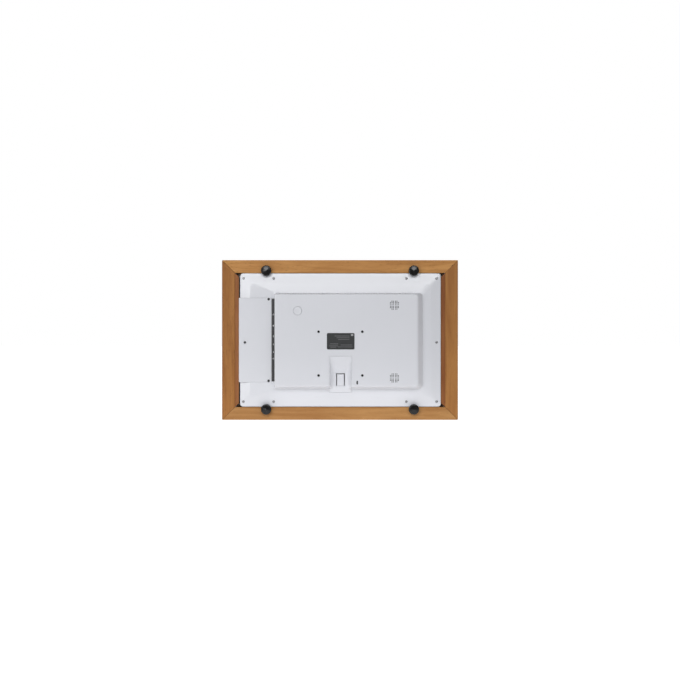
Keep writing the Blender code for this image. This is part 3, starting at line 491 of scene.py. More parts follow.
def evaluated(mesh, add_modifiers):
    """The mesh that modifiers make of this one."""
    work = bpy.data.objects.new("work", mesh)
    bpy.context.scene.collection.objects.link(work)
    helpers = add_modifiers(work) or []
    graph = bpy.context.evaluated_depsgraph_get()
    made = bpy.data.meshes.new_from_object(work.evaluated_get(graph))
    for obj in [work, *helpers]:
        bpy.data.objects.remove(obj)
    made.materials.clear()
    return made


def carved(mesh, *cutters):
    """The mesh with the cutters taken out of it."""

    def cut(work):
        helpers = []
        for cutter in cutters:
            helper = bpy.data.objects.new("cutter", cutter)
            bpy.context.scene.collection.objects.link(helper)
            modifier = work.modifiers.new("cut", "BOOLEAN")
            modifier.operation = "DIFFERENCE"
            modifier.solver = "EXACT"
            modifier.object = helper
            helpers.append(helper)
        return helpers

    return evaluated(mesh, cut)


def eased(mesh, width, segments=2, angle=math.radians(40)):
    """The mesh with its sharp edges rounded."""

    def ease(work):
        modifier = work.modifiers.new("eased_edges", "BEVEL")
        modifier.width = width
        modifier.segments = segments
        modifier.limit_method = "ANGLE"
        modifier.angle_limit = angle
        modifier.use_clamp_overlap = True

    return evaluated(mesh, ease)


def add_piece(name, mesh, material, body, stands_for=(), sharp=math.radians(32)):
    """Show a mesh as a finished piece that rides on a body."""
    mesh.shade_smooth()
    mesh.set_sharp_from_angle(angle=sharp)
    mesh.materials.append(material)
    piece = bpy.data.objects.new(name, mesh)
    bpy.context.scene.collection.objects.link(piece)
    piece.location = MIDDLE
    normals = piece.modifiers.new("even_shading", "WEIGHTED_NORMAL")
    normals.keep_sharp = True
    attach(piece, body)
    if stands_for:
        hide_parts(*stands_for)
    return piece


def dress(node, material):
    """Give a solid of the model its finish."""
    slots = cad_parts[node].data.materials
    slots.clear()
    slots.append(material)


# Shader node groups


def put(tree, kind, inputs=(), **settings):
    """Add a node and wire or fill its inputs, given as (socket, value or output) pairs."""
    made = tree.nodes.new(kind)
    for key, value in settings.items():
        setattr(made, key, value)
    for socket, value in inputs:
        if isinstance(value, bpy.types.NodeSocket):
            tree.links.new(value, made.inputs[socket])
        else:
            made.inputs[socket].default_value = value
    return made


def new_group(name, inputs, outputs):
    """An empty shader node group with named sockets; returns it, its inputs and its output node."""
    group = bpy.data.node_groups.new(name, "ShaderNodeTree")
    for label, kind, default in inputs:
        socket = group.interface.new_socket(name=label, in_out="INPUT", socket_type=kind)
        socket.default_value = default
    for label, kind in outputs:
        group.interface.new_socket(name=label, in_out="OUTPUT", socket_type=kind)
    given = group.nodes.new("NodeGroupInput").outputs
    result = group.nodes.new("NodeGroupOutput")
    return group, given, result


def measured(tree, output, low, high, out_low, out_high):
    """Map a value from one range to another."""
    made = put(
        tree,
        "ShaderNodeMapRange",
        [
            ("Value", output),
            ("From Min", low),
            ("From Max", high),
            ("To Min", out_low),
            ("To Max", out_high),
        ],
    )
    return made.outputs["Result"]


def stretched(tree, scale, offset=(0.0, 0.0, 0.0)):
    """The object's own coordinates, stretched."""
    place = tree.nodes.new("ShaderNodeTexCoord").outputs["Object"]
    made = put(tree, "ShaderNodeVectorMath", [(0, place), (1, scale)], operation="MULTIPLY")
    moved = put(tree, "ShaderNodeVectorMath", [(0, made.outputs[0]), (1, offset)], operation="ADD")
    return moved.outputs[0]


def grain_group():
    """Fine moulded or brushed grain: a height, a broad tone and fine specks."""
    group, given, result = new_group(
        "fine_grain",
        [("Stretch", "NodeSocketVector", (1.0, 1.0, 1.0)), ("Scale", "NodeSocketFloat", 900.0)],
        [("Height", "NodeSocketFloat"), ("Tone", "NodeSocketFloat"), ("Speck", "NodeSocketFloat")],
    )
    place = stretched(group, given["Stretch"])
    fine = put(
        group, "ShaderNodeTexNoise", [("Vector", place), ("Scale", given["Scale"]), ("Detail", 3.0)]
    )
    broad = put(group, "ShaderNodeTexNoise", [("Vector", place), ("Scale", 7.0), ("Detail", 3.0)])
    speck = put(group, "ShaderNodeTexVoronoi", [("Vector", place), ("Scale", given["Scale"])])
    group.links.new(fine.outputs["Fac"], result.inputs["Height"])
    group.links.new(
        measured(group, broad.outputs["Fac"], 0.3, 0.7, 0.0, 1.0), result.inputs["Tone"]
    )
    group.links.new(speck.outputs["Distance"], result.inputs["Speck"])
    return group


def wear_group():
    """A mask of the edges that hands and cloths rub, broken up by noise."""
    group, given, result = new_group(
        "edge_wear",
        [("Radius", "NodeSocketFloat", 0.0006), ("Patches", "NodeSocketFloat", 90.0)],
        [("Mask", "NodeSocketFloat")],
    )
    round_normal = put(group, "ShaderNodeBevel", [("Radius", given["Radius"])], samples=4)
    flat_normal = group.nodes.new("ShaderNodeNewGeometry").outputs["Normal"]
    same = put(
        group,
        "ShaderNodeVectorMath",
        [(0, round_normal.outputs[0]), (1, flat_normal)],
        operation="DOT_PRODUCT",
    )
    edge = measured(group, same.outputs["Value"], 0.995, 0.86, 0.0, 1.0)
    place = stretched(group, (1.0, 1.0, 1.0))
    patches = put(
        group,
        "ShaderNodeTexNoise",
        [("Vector", place), ("Scale", given["Patches"]), ("Detail", 4.0)],
    )
    broken = measured(group, patches.outputs["Fac"], 0.35, 0.65, 0.15, 1.0)
    mask = put(group, "ShaderNodeMath", [(0, edge), (1, broken)], operation="MULTIPLY")
    group.links.new(mask.outputs[0], result.inputs["Mask"])
    return group


def dust_group():
    """A thin uneven film that settles on faces that look up."""
    group, given, result = new_group(
        "settled_dust", [("Amount", "NodeSocketFloat", 0.2)], [("Mask", "NodeSocketFloat")]
    )
    normal = group.nodes.new("ShaderNodeNewGeometry").outputs["Normal"]
    up = put(group, "ShaderNodeSeparateXYZ", [(0, normal)]).outputs["Z"]
    lying = measured(group, up, 0.35, 0.95, 0.0, 1.0)
    place = stretched(group, (1.0, 1.0, 1.0))
    cloud = put(group, "ShaderNodeTexNoise", [("Vector", place), ("Scale", 160.0), ("Detail", 5.0)])
    uneven = measured(group, cloud.outputs["Fac"], 0.4, 0.7, 0.2, 1.0)
    both = put(group, "ShaderNodeMath", [(0, lying), (1, uneven)], operation="MULTIPLY")
    scaled = put(
        group, "ShaderNodeMath", [(0, both.outputs[0]), (1, given["Amount"])], operation="MULTIPLY"
    )
    group.links.new(scaled.outputs[0], result.inputs["Mask"])
    return group


def wood_group():
    """Oak figure: broad streaks, fine fibres and short dark pores along the grain."""
    group, given, result = new_group(
        "wood_figure",
        [
            ("Stretch", "NodeSocketVector", (1.0, 12.0, 12.0)),
            ("Offset", "NodeSocketVector", (0.0, 0.0, 0.0)),
            ("Light", "NodeSocketColor", (0.5, 0.3, 0.13, 1.0)),
            ("Dark", "NodeSocketColor", (0.3, 0.15, 0.05, 1.0)),
        ],
        [
            ("Colour", "NodeSocketColor"),
            ("Height", "NodeSocketFloat"),
            ("Roughness", "NodeSocketFloat"),
        ],
    )
    place = stretched(group, given["Stretch"], given["Offset"])
    streak = put(
        group,
        "ShaderNodeTexNoise",
        [
            ("Vector", place),
            ("Scale", 5.5),
            ("Detail", 3.0),
            ("Roughness", 0.55),
            ("Distortion", 0.7),
        ],
    )
    fibre = put(
        group,
        "ShaderNodeTexNoise",
        [("Vector", place), ("Scale", 42.0), ("Detail", 4.0), ("Roughness", 0.65)],
    )
    pore = put(group, "ShaderNodeTexNoise", [("Vector", place), ("Scale", 95.0), ("Detail", 1.0)])
    patch = put(group, "ShaderNodeTexNoise", [("Vector", place), ("Scale", 1.4), ("Detail", 1.0)])
    broad = measured(group, streak.outputs["Fac"], 0.36, 0.64, 0.0, 0.62)
    fine = measured(group, fibre.outputs["Fac"], 0.3, 0.7, 0.0, 0.22)
    wide = measured(group, patch.outputs["Fac"], 0.35, 0.65, 0.0, 0.16)
    some = put(group, "ShaderNodeMath", [(0, broad), (1, fine)], operation="ADD")
    total = put(group, "ShaderNodeMath", [(0, some.outputs[0]), (1, wide)], operation="ADD")
    tone = put(
        group,
        "ShaderNodeMix",
        [(0, total.outputs[0]), (6, given["Dark"]), (7, given["Light"])],
        data_type="RGBA",
    )
    pores = measured(group, pore.outputs["Fac"], 0.66, 0.74, 0.0, 0.5)
    darker = put(
        group,
        "ShaderNodeMix",
        [(0, pores), (6, tone.outputs[2]), (7, (0.10, 0.045, 0.018, 1.0))],
        data_type="RGBA",
    )
    sunk = put(group, "ShaderNodeMath", [(0, fine), (1, pores)], operation="SUBTRACT")
    group.links.new(darker.outputs[2], result.inputs["Colour"])
    group.links.new(sunk.outputs[0], result.inputs["Height"])
    group.links.new(
        measured(group, fibre.outputs["Fac"], 0.3, 0.7, 0.46, 0.62), result.inputs["Roughness"]
    )
    return group


FINE_GRAIN = grain_group()
EDGE_WEAR = wear_group()
SETTLED_DUST = dust_group()
WOOD_FIGURE = wood_group()


# Finishes


def group_node(tree, group, inputs=()):
    """Place a node group in a material."""
    return put(tree, "ShaderNodeGroup", inputs, node_tree=group)


def mixed(tree, factor, first, second):
    """Blend two colours."""
    made = put(tree, "ShaderNodeMix", [(0, factor), (6, first), (7, second)], data_type="RGBA")
    return made.outputs[2]


def blank_material(name):
    """A material with only its shader."""
    material = bpy.data.materials.new(name)
    material.use_nodes = True
    tree = material.node_tree
    return material, tree, tree.nodes["Principled BSDF"]


def bumped(tree, shader, height, distance):
    """Raise the surface by a height."""
    bump = put(
        tree, "ShaderNodeBump", [("Height", height), ("Distance", distance), ("Strength", 1.0)]
    )
    tree.links.new(bump.outputs["Normal"], shader.inputs["Normal"])


def shade(colour, factor):
    """A colour made lighter or darker, with its alpha."""
    return (*[min(channel * factor, 1.0) for channel in colour], 1.0)


def finish(
    name,
    colour,
    roughness,
    metallic=0.0,
    grain=900.0,
    stretch=(1.0, 1.0, 1.0),
    depth=0.00002,
    tone=0.05,
    wear=0.3,
    worn=1.25,
    wear_radius=0.0006,
    dust=0.1,
    spread=0.06,
    coat=0.0,
    coat_roughness=0.2,
):
    """A moulded, painted or metal finish: uneven tone, fine grain, rubbed edges, a little dust."""
    material, tree, shader = blank_material(name)
    fine = group_node(tree, FINE_GRAIN, [("Stretch", stretch), ("Scale", grain)])
    rubbed = group_node(tree, EDGE_WEAR, [("Radius", wear_radius)])
    film = group_node(tree, SETTLED_DUST, [("Amount", dust)])
    base = mixed(tree, fine.outputs["Tone"], shade(colour, 1.0 - tone), shade(colour, 1.0 + tone))
    edge = put(
        tree, "ShaderNodeMath", [(0, rubbed.outputs["Mask"]), (1, wear)], operation="MULTIPLY"
    )
    base = mixed(tree, edge.outputs[0], base, shade(colour, worn))
    base = mixed(tree, film.outputs["Mask"], base, (0.55, 0.54, 0.52, 1.0))
    tree.links.new(base, shader.inputs["Base Color"])
    rough = measured(tree, fine.outputs["Height"], 0.3, 0.7, roughness - spread, roughness + spread)
    dull = put(
        tree,
        "ShaderNodeMath",
        [(0, rough), (1, film.outputs["Mask"])],
        operation="ADD",
        use_clamp=True,
    )
    tree.links.new(dull.outputs[0], shader.inputs["Roughness"])
    shader.inputs["Metallic"].default_value = metallic
    shader.inputs["Coat Weight"].default_value = coat
    shader.inputs["Coat Roughness"].default_value = coat_roughness
    bumped(tree, shader, fine.outputs["Height"], depth)
    return material


def wood_finish(name, stretch, offset, light, dark):
    """Oiled oak with its grain along one axis."""
    material, tree, shader = blank_material(name)
    figure = group_node(
        tree,
        WOOD_FIGURE,
        [
            ("Stretch", stretch),
            ("Offset", offset),
            ("Light", (*light, 1.0)),
            ("Dark", (*dark, 1.0)),
        ],
    )
    rubbed = group_node(tree, EDGE_WEAR, [("Radius", 0.0012)])
    film = group_node(tree, SETTLED_DUST, [("Amount", 0.08)])
    edge = put(
        tree, "ShaderNodeMath", [(0, rubbed.outputs["Mask"]), (1, 0.35)], operation="MULTIPLY"
    )
    base = mixed(tree, edge.outputs[0], figure.outputs["Colour"], shade(light, 1.12))
    base = mixed(tree, film.outputs["Mask"], base, (0.6, 0.56, 0.5, 1.0))
    tree.links.new(base, shader.inputs["Base Color"])
    tree.links.new(figure.outputs["Roughness"], shader.inputs["Roughness"])
    shader.inputs["Specular IOR Level"].default_value = 0.25
    bumped(tree, shader, figure.outputs["Height"], 0.00018)
    return material


def clear_glass(name):
    """Clean glazing with faint smears."""
    material, tree, shader = blank_material(name)
    fine = group_node(tree, FINE_GRAIN, [("Stretch", (1.0, 1.0, 0.4)), ("Scale", 60.0)])
    rough = measured(tree, fine.outputs["Tone"], 0.0, 1.0, 0.01, 0.05)
    tree.links.new(rough, shader.inputs["Roughness"])
    shader.inputs["Base Color"].default_value = (0.97, 0.985, 0.98, 1.0)
    shader.inputs["Transmission Weight"].default_value = 1.0
    shader.inputs["IOR"].default_value = 1.5
    return material


def dark_screen(name):
    """An unlit display: near black under a satin film, with its fine columns."""
    material, tree, shader = blank_material(name)
    columns = put(
        tree,
        "ShaderNodeTexWave",
        [("Vector", stretched(tree, (1.0, 1.0, 1.0))), ("Scale", 900.0)],
        bands_direction="X",
    )
    fine = group_node(tree, FINE_GRAIN, [("Scale", 2000.0)])
    base = mixed(
        tree, columns.outputs["Fac"], (0.009, 0.010, 0.013, 1.0), (0.014, 0.015, 0.019, 1.0)
    )
    tree.links.new(base, shader.inputs["Base Color"])
    rough = measured(tree, fine.outputs["Height"], 0.3, 0.7, 0.16, 0.24)
    tree.links.new(rough, shader.inputs["Roughness"])
    return material


def card_finish(name):
    """Laid card: warm white with fine fibres."""
    material, tree, shader = blank_material(name)
    fine = group_node(tree, FINE_GRAIN, [("Stretch", (1.0, 1.0, 0.5)), ("Scale", 420.0)])
    base = mixed(tree, fine.outputs["Height"], (0.78, 0.755, 0.69, 1.0), (0.88, 0.86, 0.80, 1.0))
    tree.links.new(base, shader.inputs["Base Color"])
    rough = measured(tree, fine.outputs["Speck"], 0.0, 1.0, 0.82, 0.95)
    tree.links.new(rough, shader.inputs["Roughness"])
    bumped(tree, shader, fine.outputs["Height"], 0.00006)
    return material


def board_finish(name):
    """Green circuit board: traces and pads under a glossy mask."""
    material, tree, shader = blank_material(name)
    place = stretched(tree, (1.0, 1.0, 1.0))
    traces = put(
        tree, "ShaderNodeTexVoronoi", [("Vector", place), ("Scale", 260.0)], distance="CHEBYCHEV"
    )
    pads = put(tree, "ShaderNodeTexVoronoi", [("Vector", place), ("Scale", 420.0)])
    lines = measured(tree, traces.outputs["Distance"], 0.28, 0.32, 0.0, 1.0)
    dots = measured(tree, pads.outputs["Distance"], 0.16, 0.12, 0.0, 1.0)
    base = mixed(tree, lines, (0.012, 0.085, 0.035, 1.0), (0.022, 0.16, 0.07, 1.0))
    base = mixed(tree, dots, base, (0.55, 0.52, 0.42, 1.0))
    tree.links.new(base, shader.inputs["Base Color"])
    tree.links.new(dots, shader.inputs["Metallic"])
    rough = measured(tree, lines, 0.0, 1.0, 0.28, 0.4)
    tree.links.new(rough, shader.inputs["Roughness"])
    bumped(tree, shader, lines, 0.00004)
    return material


def cloth_finish(name):
    """Black speaker cloth: an open weave of fine threads."""
    material, tree, shader = blank_material(name)
    place = stretched(tree, (1.0, 1.0, 1.0))
    warp = put(
        tree, "ShaderNodeTexWave", [("Vector", place), ("Scale", 500.0)], bands_direction="X"
    )
    weft = put(
        tree, "ShaderNodeTexWave", [("Vector", place), ("Scale", 500.0)], bands_direction="Z"
    )
    weave = put(
        tree,
        "ShaderNodeMath",
        [(0, warp.outputs["Fac"]), (1, weft.outputs["Fac"])],
        operation="MULTIPLY",
    )
    base = mixed(tree, weave.outputs[0], (0.012, 0.012, 0.013, 1.0), (0.05, 0.05, 0.052, 1.0))
    tree.links.new(base, shader.inputs["Base Color"])
    shader.inputs["Roughness"].default_value = 0.9
    bumped(tree, shader, weave.outputs[0], 0.0001)
    return material


# Shapes of the pieces


def wood_member(name, length, turn, settings):
    """A mitred member, rebated inside, with rounded edges."""
    section = filleted(
        [
            (0.0, -FRAME_DEPTH),
            (FACE_WIDTH, -FRAME_DEPTH),
            (FACE_WIDTH, LIP_BACK),
            (RAIL_WIDTH, LIP_BACK),
            (RAIL_WIDTH, 0.0),
            (0.0, 0.0),
        ],
        [settings.edge, settings.edge * 0.8, 0.0004, 0.0004, settings.edge * 0.6, settings.edge],
        steps=5,
    )
    half_side = FRAME_WIDTH / 2 if length == FRAME_HEIGHT else FRAME_HEIGHT / 2

    def place(point, end):
        reach = length / 2 - GAP - point[0]
        return (reach if end else -reach, point[1], point[0] - half_side)

    mesh = mesh_from(name, lambda bm: add_prism(bm, section, place))
    mesh = eased(mesh, 0.0004)
    mesh.transform(Matrix.Rotation(turn, 4, "Y"))
    return mesh


def edge_profile(softness):
    """The cover's outer profile: inset from its edge and height, from the skirt to the plateau."""
    points = [(0.0, -SKIRT_DEPTH), (0.0, -EDGE_DROP), (LIP_END, LIP_RISE), (SLOPE_END, SLOPE_TOP)]
    points.append((SLOPE_END + 0.012, SLOPE_TOP + 0.0014))
    return filleted(points, [0.0, 0.0009, softness, softness, 0.0], steps=6, closed=False)


def wall_profile(run, foot, crown):
    """A box wall's profile: height above the plateau and inset from its foot."""
    points = [(-0.02, 0.0), (0.0, 0.0), (run, BOX_HEIGHT), (run + 0.03, BOX_HEIGHT)]
    line = filleted(points, [0.0, foot, crown, 0.0], steps=10, closed=False)
    return [(height, inset) for inset, height in line[1:-1]]


def cover_rings(softness, steps=8):
    """The rear cover's outer face as rings, from its skirt up to the raised face."""
    rings = []
    for inset, height in edge_profile(softness)[:-1]:
        radius = CORNER_RADIUS + 0.25 * inset
        loop = rounded(
            inset - COVER_HALF_X,
            COVER_RIGHT - inset,
            inset - COVER_HALF_Z,
            COVER_HALF_Z - inset,
            [radius] * 4,
            steps,
        )
        rings.append([(x, height, z) for x, z in loop])
    walls = {side: wall_profile(*shape) for side, shape in BOX_WALLS.items()}
    crown = 0.0060
    heights = [0.0030 * (1 - math.cos(i * math.pi / 10)) for i in range(6)]
    heights += [BOX_HEIGHT - crown + crown * math.sin(i * math.pi / 20) for i in range(11)]
    radii = [BOX_SMALL_RADIUS, BOX_LARGE_RADIUS, BOX_LARGE_RADIUS, BOX_SMALL_RADIUS]
    for height in heights:
        inset = {side: between(height, wall) for side, wall in walls.items()}
        loop = rounded(
            BOX_LOW_X + inset["low_x"],
            BOX_HIGH_X - inset["high_x"],
            BOX_LOW_Z + inset["low_z"],
            BOX_HIGH_Z - inset["high_z"],
            radii,
            steps,
        )
        rings.append([(x, PLATEAU + height, z) for x, z in loop])
    return rings


def inner_rings(steps=8):
    """The rear cover's inner face, one wall inside the outer one."""
    levels = [(WALL, -SKIRT_DEPTH), (WALL, -EDGE_DROP - WALL), (LIP_END + WALL, LIP_RISE - WALL)]
    levels.append((SLOPE_END + WALL, SLOPE_TOP - WALL))
    rings = []
    for inset, height in levels:
        loop = rounded(
            inset - COVER_HALF_X,
            COVER_RIGHT - inset,
            inset - COVER_HALF_Z,
            COVER_HALF_Z - inset,
            [0.005] * 4,
            steps,
        )
        rings.append([(x, height, z) for x, z in loop])
    for height, share in ((0.0, 0.0), (BOX_HEIGHT - 0.006, 0.7), (BOX_HEIGHT, 1.0)):
        loop = rounded(
            BOX_LOW_X + WALL + 0.014 * share,
            BOX_HIGH_X - WALL - 0.001 * share,
            BOX_LOW_Z + WALL + 0.007 * share,
            BOX_HIGH_Z - WALL - 0.003 * share,
            [0.0005, 0.007, 0.007, 0.0005],
            steps,
        )
        rings.append([(x, PLATEAU + height - WALL, z) for x, z in loop])
    return rings


def add_shell(bm, outer, inner):
    """A closed shell between an outer and an inner stack of rings that share their first height."""
    stacks = [
        [[bm.verts.new(point) for point in ring] for ring in stack] for stack in (outer, inner)
    ]
    for rings in stacks:
        for low, high in zip(rings, rings[1:]):
            for i in range(len(low)):
                j = (i + 1) % len(low)
                bm.faces.new((low[j], low[i], high[i], high[j]))
        bm.faces.new(rings[-1])
    outer_foot, inner_foot = stacks[0][0], stacks[1][0]
    for i in range(len(outer_foot)):
        j = (i + 1) % len(outer_foot)
        bm.faces.new((outer_foot[i], outer_foot[j], inner_foot[j], inner_foot[i]))


def cover_height(x, z, profile):
    """Height of the cover's outer face outside the raised box."""
    return between(min(COVER_HALF_X - abs(x), COVER_HALF_Z - abs(z)), profile)


def cover_screw_places():
    """Where the nine screws of the rear cover sit."""
    places = {}
    for side_z, level in ((1, "top"), (-1, "bottom")):
        for number, x in enumerate((-SCREW_X, -SCREW_SPAN_X, SCREW_SPAN_X, SCREW_X), start=1):
            places[f"cover_screw_{level}_{number}"] = (x, side_z * SCREW_Z)
    places["cover_screw_side"] = (-SCREW_X, -SCREW_MIDDLE_DROP)
    return places


def side_screw_places():
    """Where the three black screws of the side cover sit."""
    near = STRIP_RIGHT + 0.0070
    return {
        "side_screw_upper": (near, SIDE_COVER_HALF - BLACK_RADIUS),
        "side_screw_lower": (near, BLACK_RADIUS - SIDE_COVER_HALF),
        "side_screw_edge": (COVER_HALF_X - 0.0135, -SCREW_MIDDLE_DROP),
    }


def knob_places():
    """The four thumbscrews, named by the side of the frame as its front is seen."""
    return {
        f"{level}_{side}": (sign_x * KNOB_X, sign_z * KNOB_Z)
        for level, sign_z in (("upper", 1), ("lower", -1))
        for side, sign_x in (("left", -1), ("right", 1))
    }


def add_bore(bm, x, z, radius, top, depth, chamfer, sides=32):
    """A cutter for a hole with an eased mouth."""
    above = 0.001
    profile = [
        (0.0, top + above),
        (radius + chamfer, top + above),
        (radius + chamfer, top),
        (radius, top - chamfer),
        (radius, top - depth),
        (0.0, top - depth),
    ]
    add_turned(bm, profile, x, z, sides)


def stadium(width, length, steps=8):
    """A slot's outline with round ends, upright."""
    half = (length - width) / 2
    upper = arc((0.0, half), width / 2, 0.0, math.pi, steps)
    lower = arc((0.0, -half), width / 2, math.pi, math.pi, steps)
    return upper + lower


def add_vents(bm):
    """Cutters for the row of slots in the box's top wall."""
    run = BOX_WALLS["high_z"][0]
    middle = (BOX_LOW_X + BOX_WALLS["low_x"][0] + BOX_HIGH_X) / 2
    height = (VENT_LOW + VENT_HIGH) / 2
    loop = stadium(VENT_WIDTH, VENT_HIGH - VENT_LOW)
    for i in range(VENT_COUNT):
        x = middle + VENT_PITCH * (i - (VENT_COUNT - 1) / 2)

        def place(point, end, x=x):
            return (
                x + point[0], height + point[1], BOX_HIGH_Z + (0.001 if end else -run - 2 * WALL)
            )

        add_prism(bm, loop, place)


def grille_places():
    """Where each grille hole sits: rows left out along a cross through the speaker's centre."""
    steps = [GRILLE_CROSS + GRILLE_PITCH * i for i in range(3)]
    spots = [
        (x, z) for x in steps for z in steps if math.hypot(x, z) + GRILLE_HOLE <= GRILLE_RADIUS
    ]
    return [
        (SPEAKER_X + sign_x * x, middle + sign_z * z)
        for middle in SPEAKER_Z
        for x, z in spots
        for sign_x in (-1, 1)
        for sign_z in (-1, 1)
    ]


def cover_cutters(profile):
    """Everything that is cut out of the rear cover, in meshes whose shapes don't cross."""

    def bores(bm):
        for x, z in cover_screw_places().values():
            top = cover_height(x, z, profile)
            seat = [
                (0.0, top + 0.004),
                (SCREW_RADIUS + GAP, top + 0.004),
                (SCREW_RADIUS + GAP, top - SCREW_SINK),
                (0.0, top - SCREW_SINK),
            ]
            add_turned(bm, seat, x, z, 32)
        for x, z in mount_places():
            add_bore(bm, x, z, MOUNT_HOLE, BOX_FACE, 2 * WALL, 0.0003)
        add_bore(
            bm, BUTTON_X, BUTTON_Z, BUTTON_RADIUS + SLIDING_GAP, BOX_FACE, 2 * WALL, 0.0004, 96
        )
        for x, z in grille_places():
            add_bore(bm, x, z, GRILLE_HOLE, BOX_FACE, 2 * WALL, 0.00015, 14)
        add_plate(
            bm,
            stadium(LOCK_WIDTH, LOCK_HEIGHT),
            BOX_FACE - 2 * WALL,
            BOX_FACE + 0.001,
            LOCK_X,
            LOCK_Z,
        )
        loop = rounded(
            -LABEL_WIDTH / 2 - GAP,
            LABEL_WIDTH / 2 + GAP,
            -LABEL_HEIGHT / 2 - GAP,
            LABEL_HEIGHT / 2 + GAP,
            [LABEL_RADIUS] * 4,
            8,
        )
        add_plate(bm, loop, BOX_FACE - LABEL_THICKNESS - GAP, BOX_FACE + 0.001, LABEL_X, LABEL_Z)

    def windows(bm):
        half = STRIP_HALF + GAP
        top = PLATEAU + STRIP_WALL_HEIGHT + 2 * GAP
        add_block(
            bm, (BOX_HIGH_X - 2 * WALL, PLATEAU - 0.0006, -half), (BOX_HIGH_X + GAP, top, half)
        )

    def openings(bm):
        half = SIDE_COVER_HALF + GAP
        add_block(bm, (STRIP_RIGHT, -0.009, -half), (COVER_HALF_X + 0.001, PLATEAU + 0.001, half))
        half = SOCKET_HALF + GAP
        low = (SOCKET_X - half, -SKIRT_DEPTH + 0.0002, SOCKET_BOTTOM - GAP)
        add_block(bm, low, (SOCKET_X + half, BOX_FACE + 0.001, SOCKET_TOP + GAP))

    return [
        mesh_from("cover_bores", bores),
        mesh_from("cover_vents", add_vents),
        mesh_from("cover_windows", windows),
        mesh_from("cover_openings", openings),
    ]


def mount_places():
    """Where the four wall-mount holes are."""
    half = MOUNT_HALF
    return [(MOUNT_X + x, z - MOUNT_DROP) for x in (-half, half) for z in (-half, half)]


def mount_sleeves(bm):
    """A steel sleeve in each wall-mount hole."""
    low, high = BOX_FACE - WALL - 0.0010, BOX_FACE - 0.0003
    for x, z in mount_places():
        profile = [(MOUNT_BORE, low), (MOUNT_HOLE - 0.00005, low), (MOUNT_HOLE - 0.00005, high)]
        profile += [(MOUNT_BORE + 0.0003, high), (MOUNT_BORE, high - 0.0003)]
        add_turned(bm, profile, x, z, 40)


def painted_shade_backings(bm):
    """Black backings behind the vents, the wall-mount holes and the lock slot: painted shade for
    the dark inside of the cover.
    """
    run = BOX_WALLS["high_z"][0]
    low_x = BOX_LOW_X + BOX_WALLS["low_x"][0] + 0.006
    section = []
    for height in (VENT_LOW - 0.0006, VENT_HIGH + 0.0002):
        section.append((BOX_HIGH_Z - WALL - 0.0004 - run * (height - PLATEAU) / BOX_HEIGHT, height))
    section += [(z - 0.0008, height) for z, height in section[::-1]]
    high_x = BOX_HIGH_X - 0.0045
    add_prism(bm, section, lambda point, end: (high_x if end else low_x, point[1], point[0]))
    deep = BOX_FACE - WALL - 0.0040
    for x, z in mount_places():
        add_turned(
            bm,
            [(0.0, deep), (MOUNT_HOLE, deep), (MOUNT_HOLE, deep - 0.0004), (0.0, deep - 0.0004)],
            x,
            z,
            24,
        )
    under = BOX_FACE - WALL - 0.0002
    half_x, half_z = LOCK_WIDTH / 2 + 0.001, LOCK_HEIGHT / 2 + 0.001
    low = (LOCK_X - half_x, under - 0.0006, LOCK_Z - half_z)
    add_block(bm, low, (LOCK_X + half_x, under, LOCK_Z + half_z))


def scoop_floor():
    """Height of the scoop's floor along its length, as (z, height) pairs from its foot upwards."""
    line = [
        (SOCKET_BOTTOM - 0.01, TONGUE_END),
        (SOCKET_BOTTOM + 0.0015, TONGUE_END),
        (BOX_LOW_Z, SCOOP_FOOT),
        (RAMP_FOOT, BOX_FACE - RAMP_DEPTH),
        (SOCKET_TOP - SOCKET_RIM, BOX_FACE),
        (SOCKET_TOP + 0.02, BOX_FACE),
    ]
    return filleted(line, [0.0, 0.004, 0.02, 0.022, 0.006, 0.0], steps=8, closed=False)


def box_foot_line():
    """Height of the cover along the foot of the raised box, as (z, height) pairs upwards."""
    wall = wall_profile(*BOX_WALLS["low_z"])
    return [(BOX_LOW_Z + inset, PLATEAU + height) for height, inset in wall]


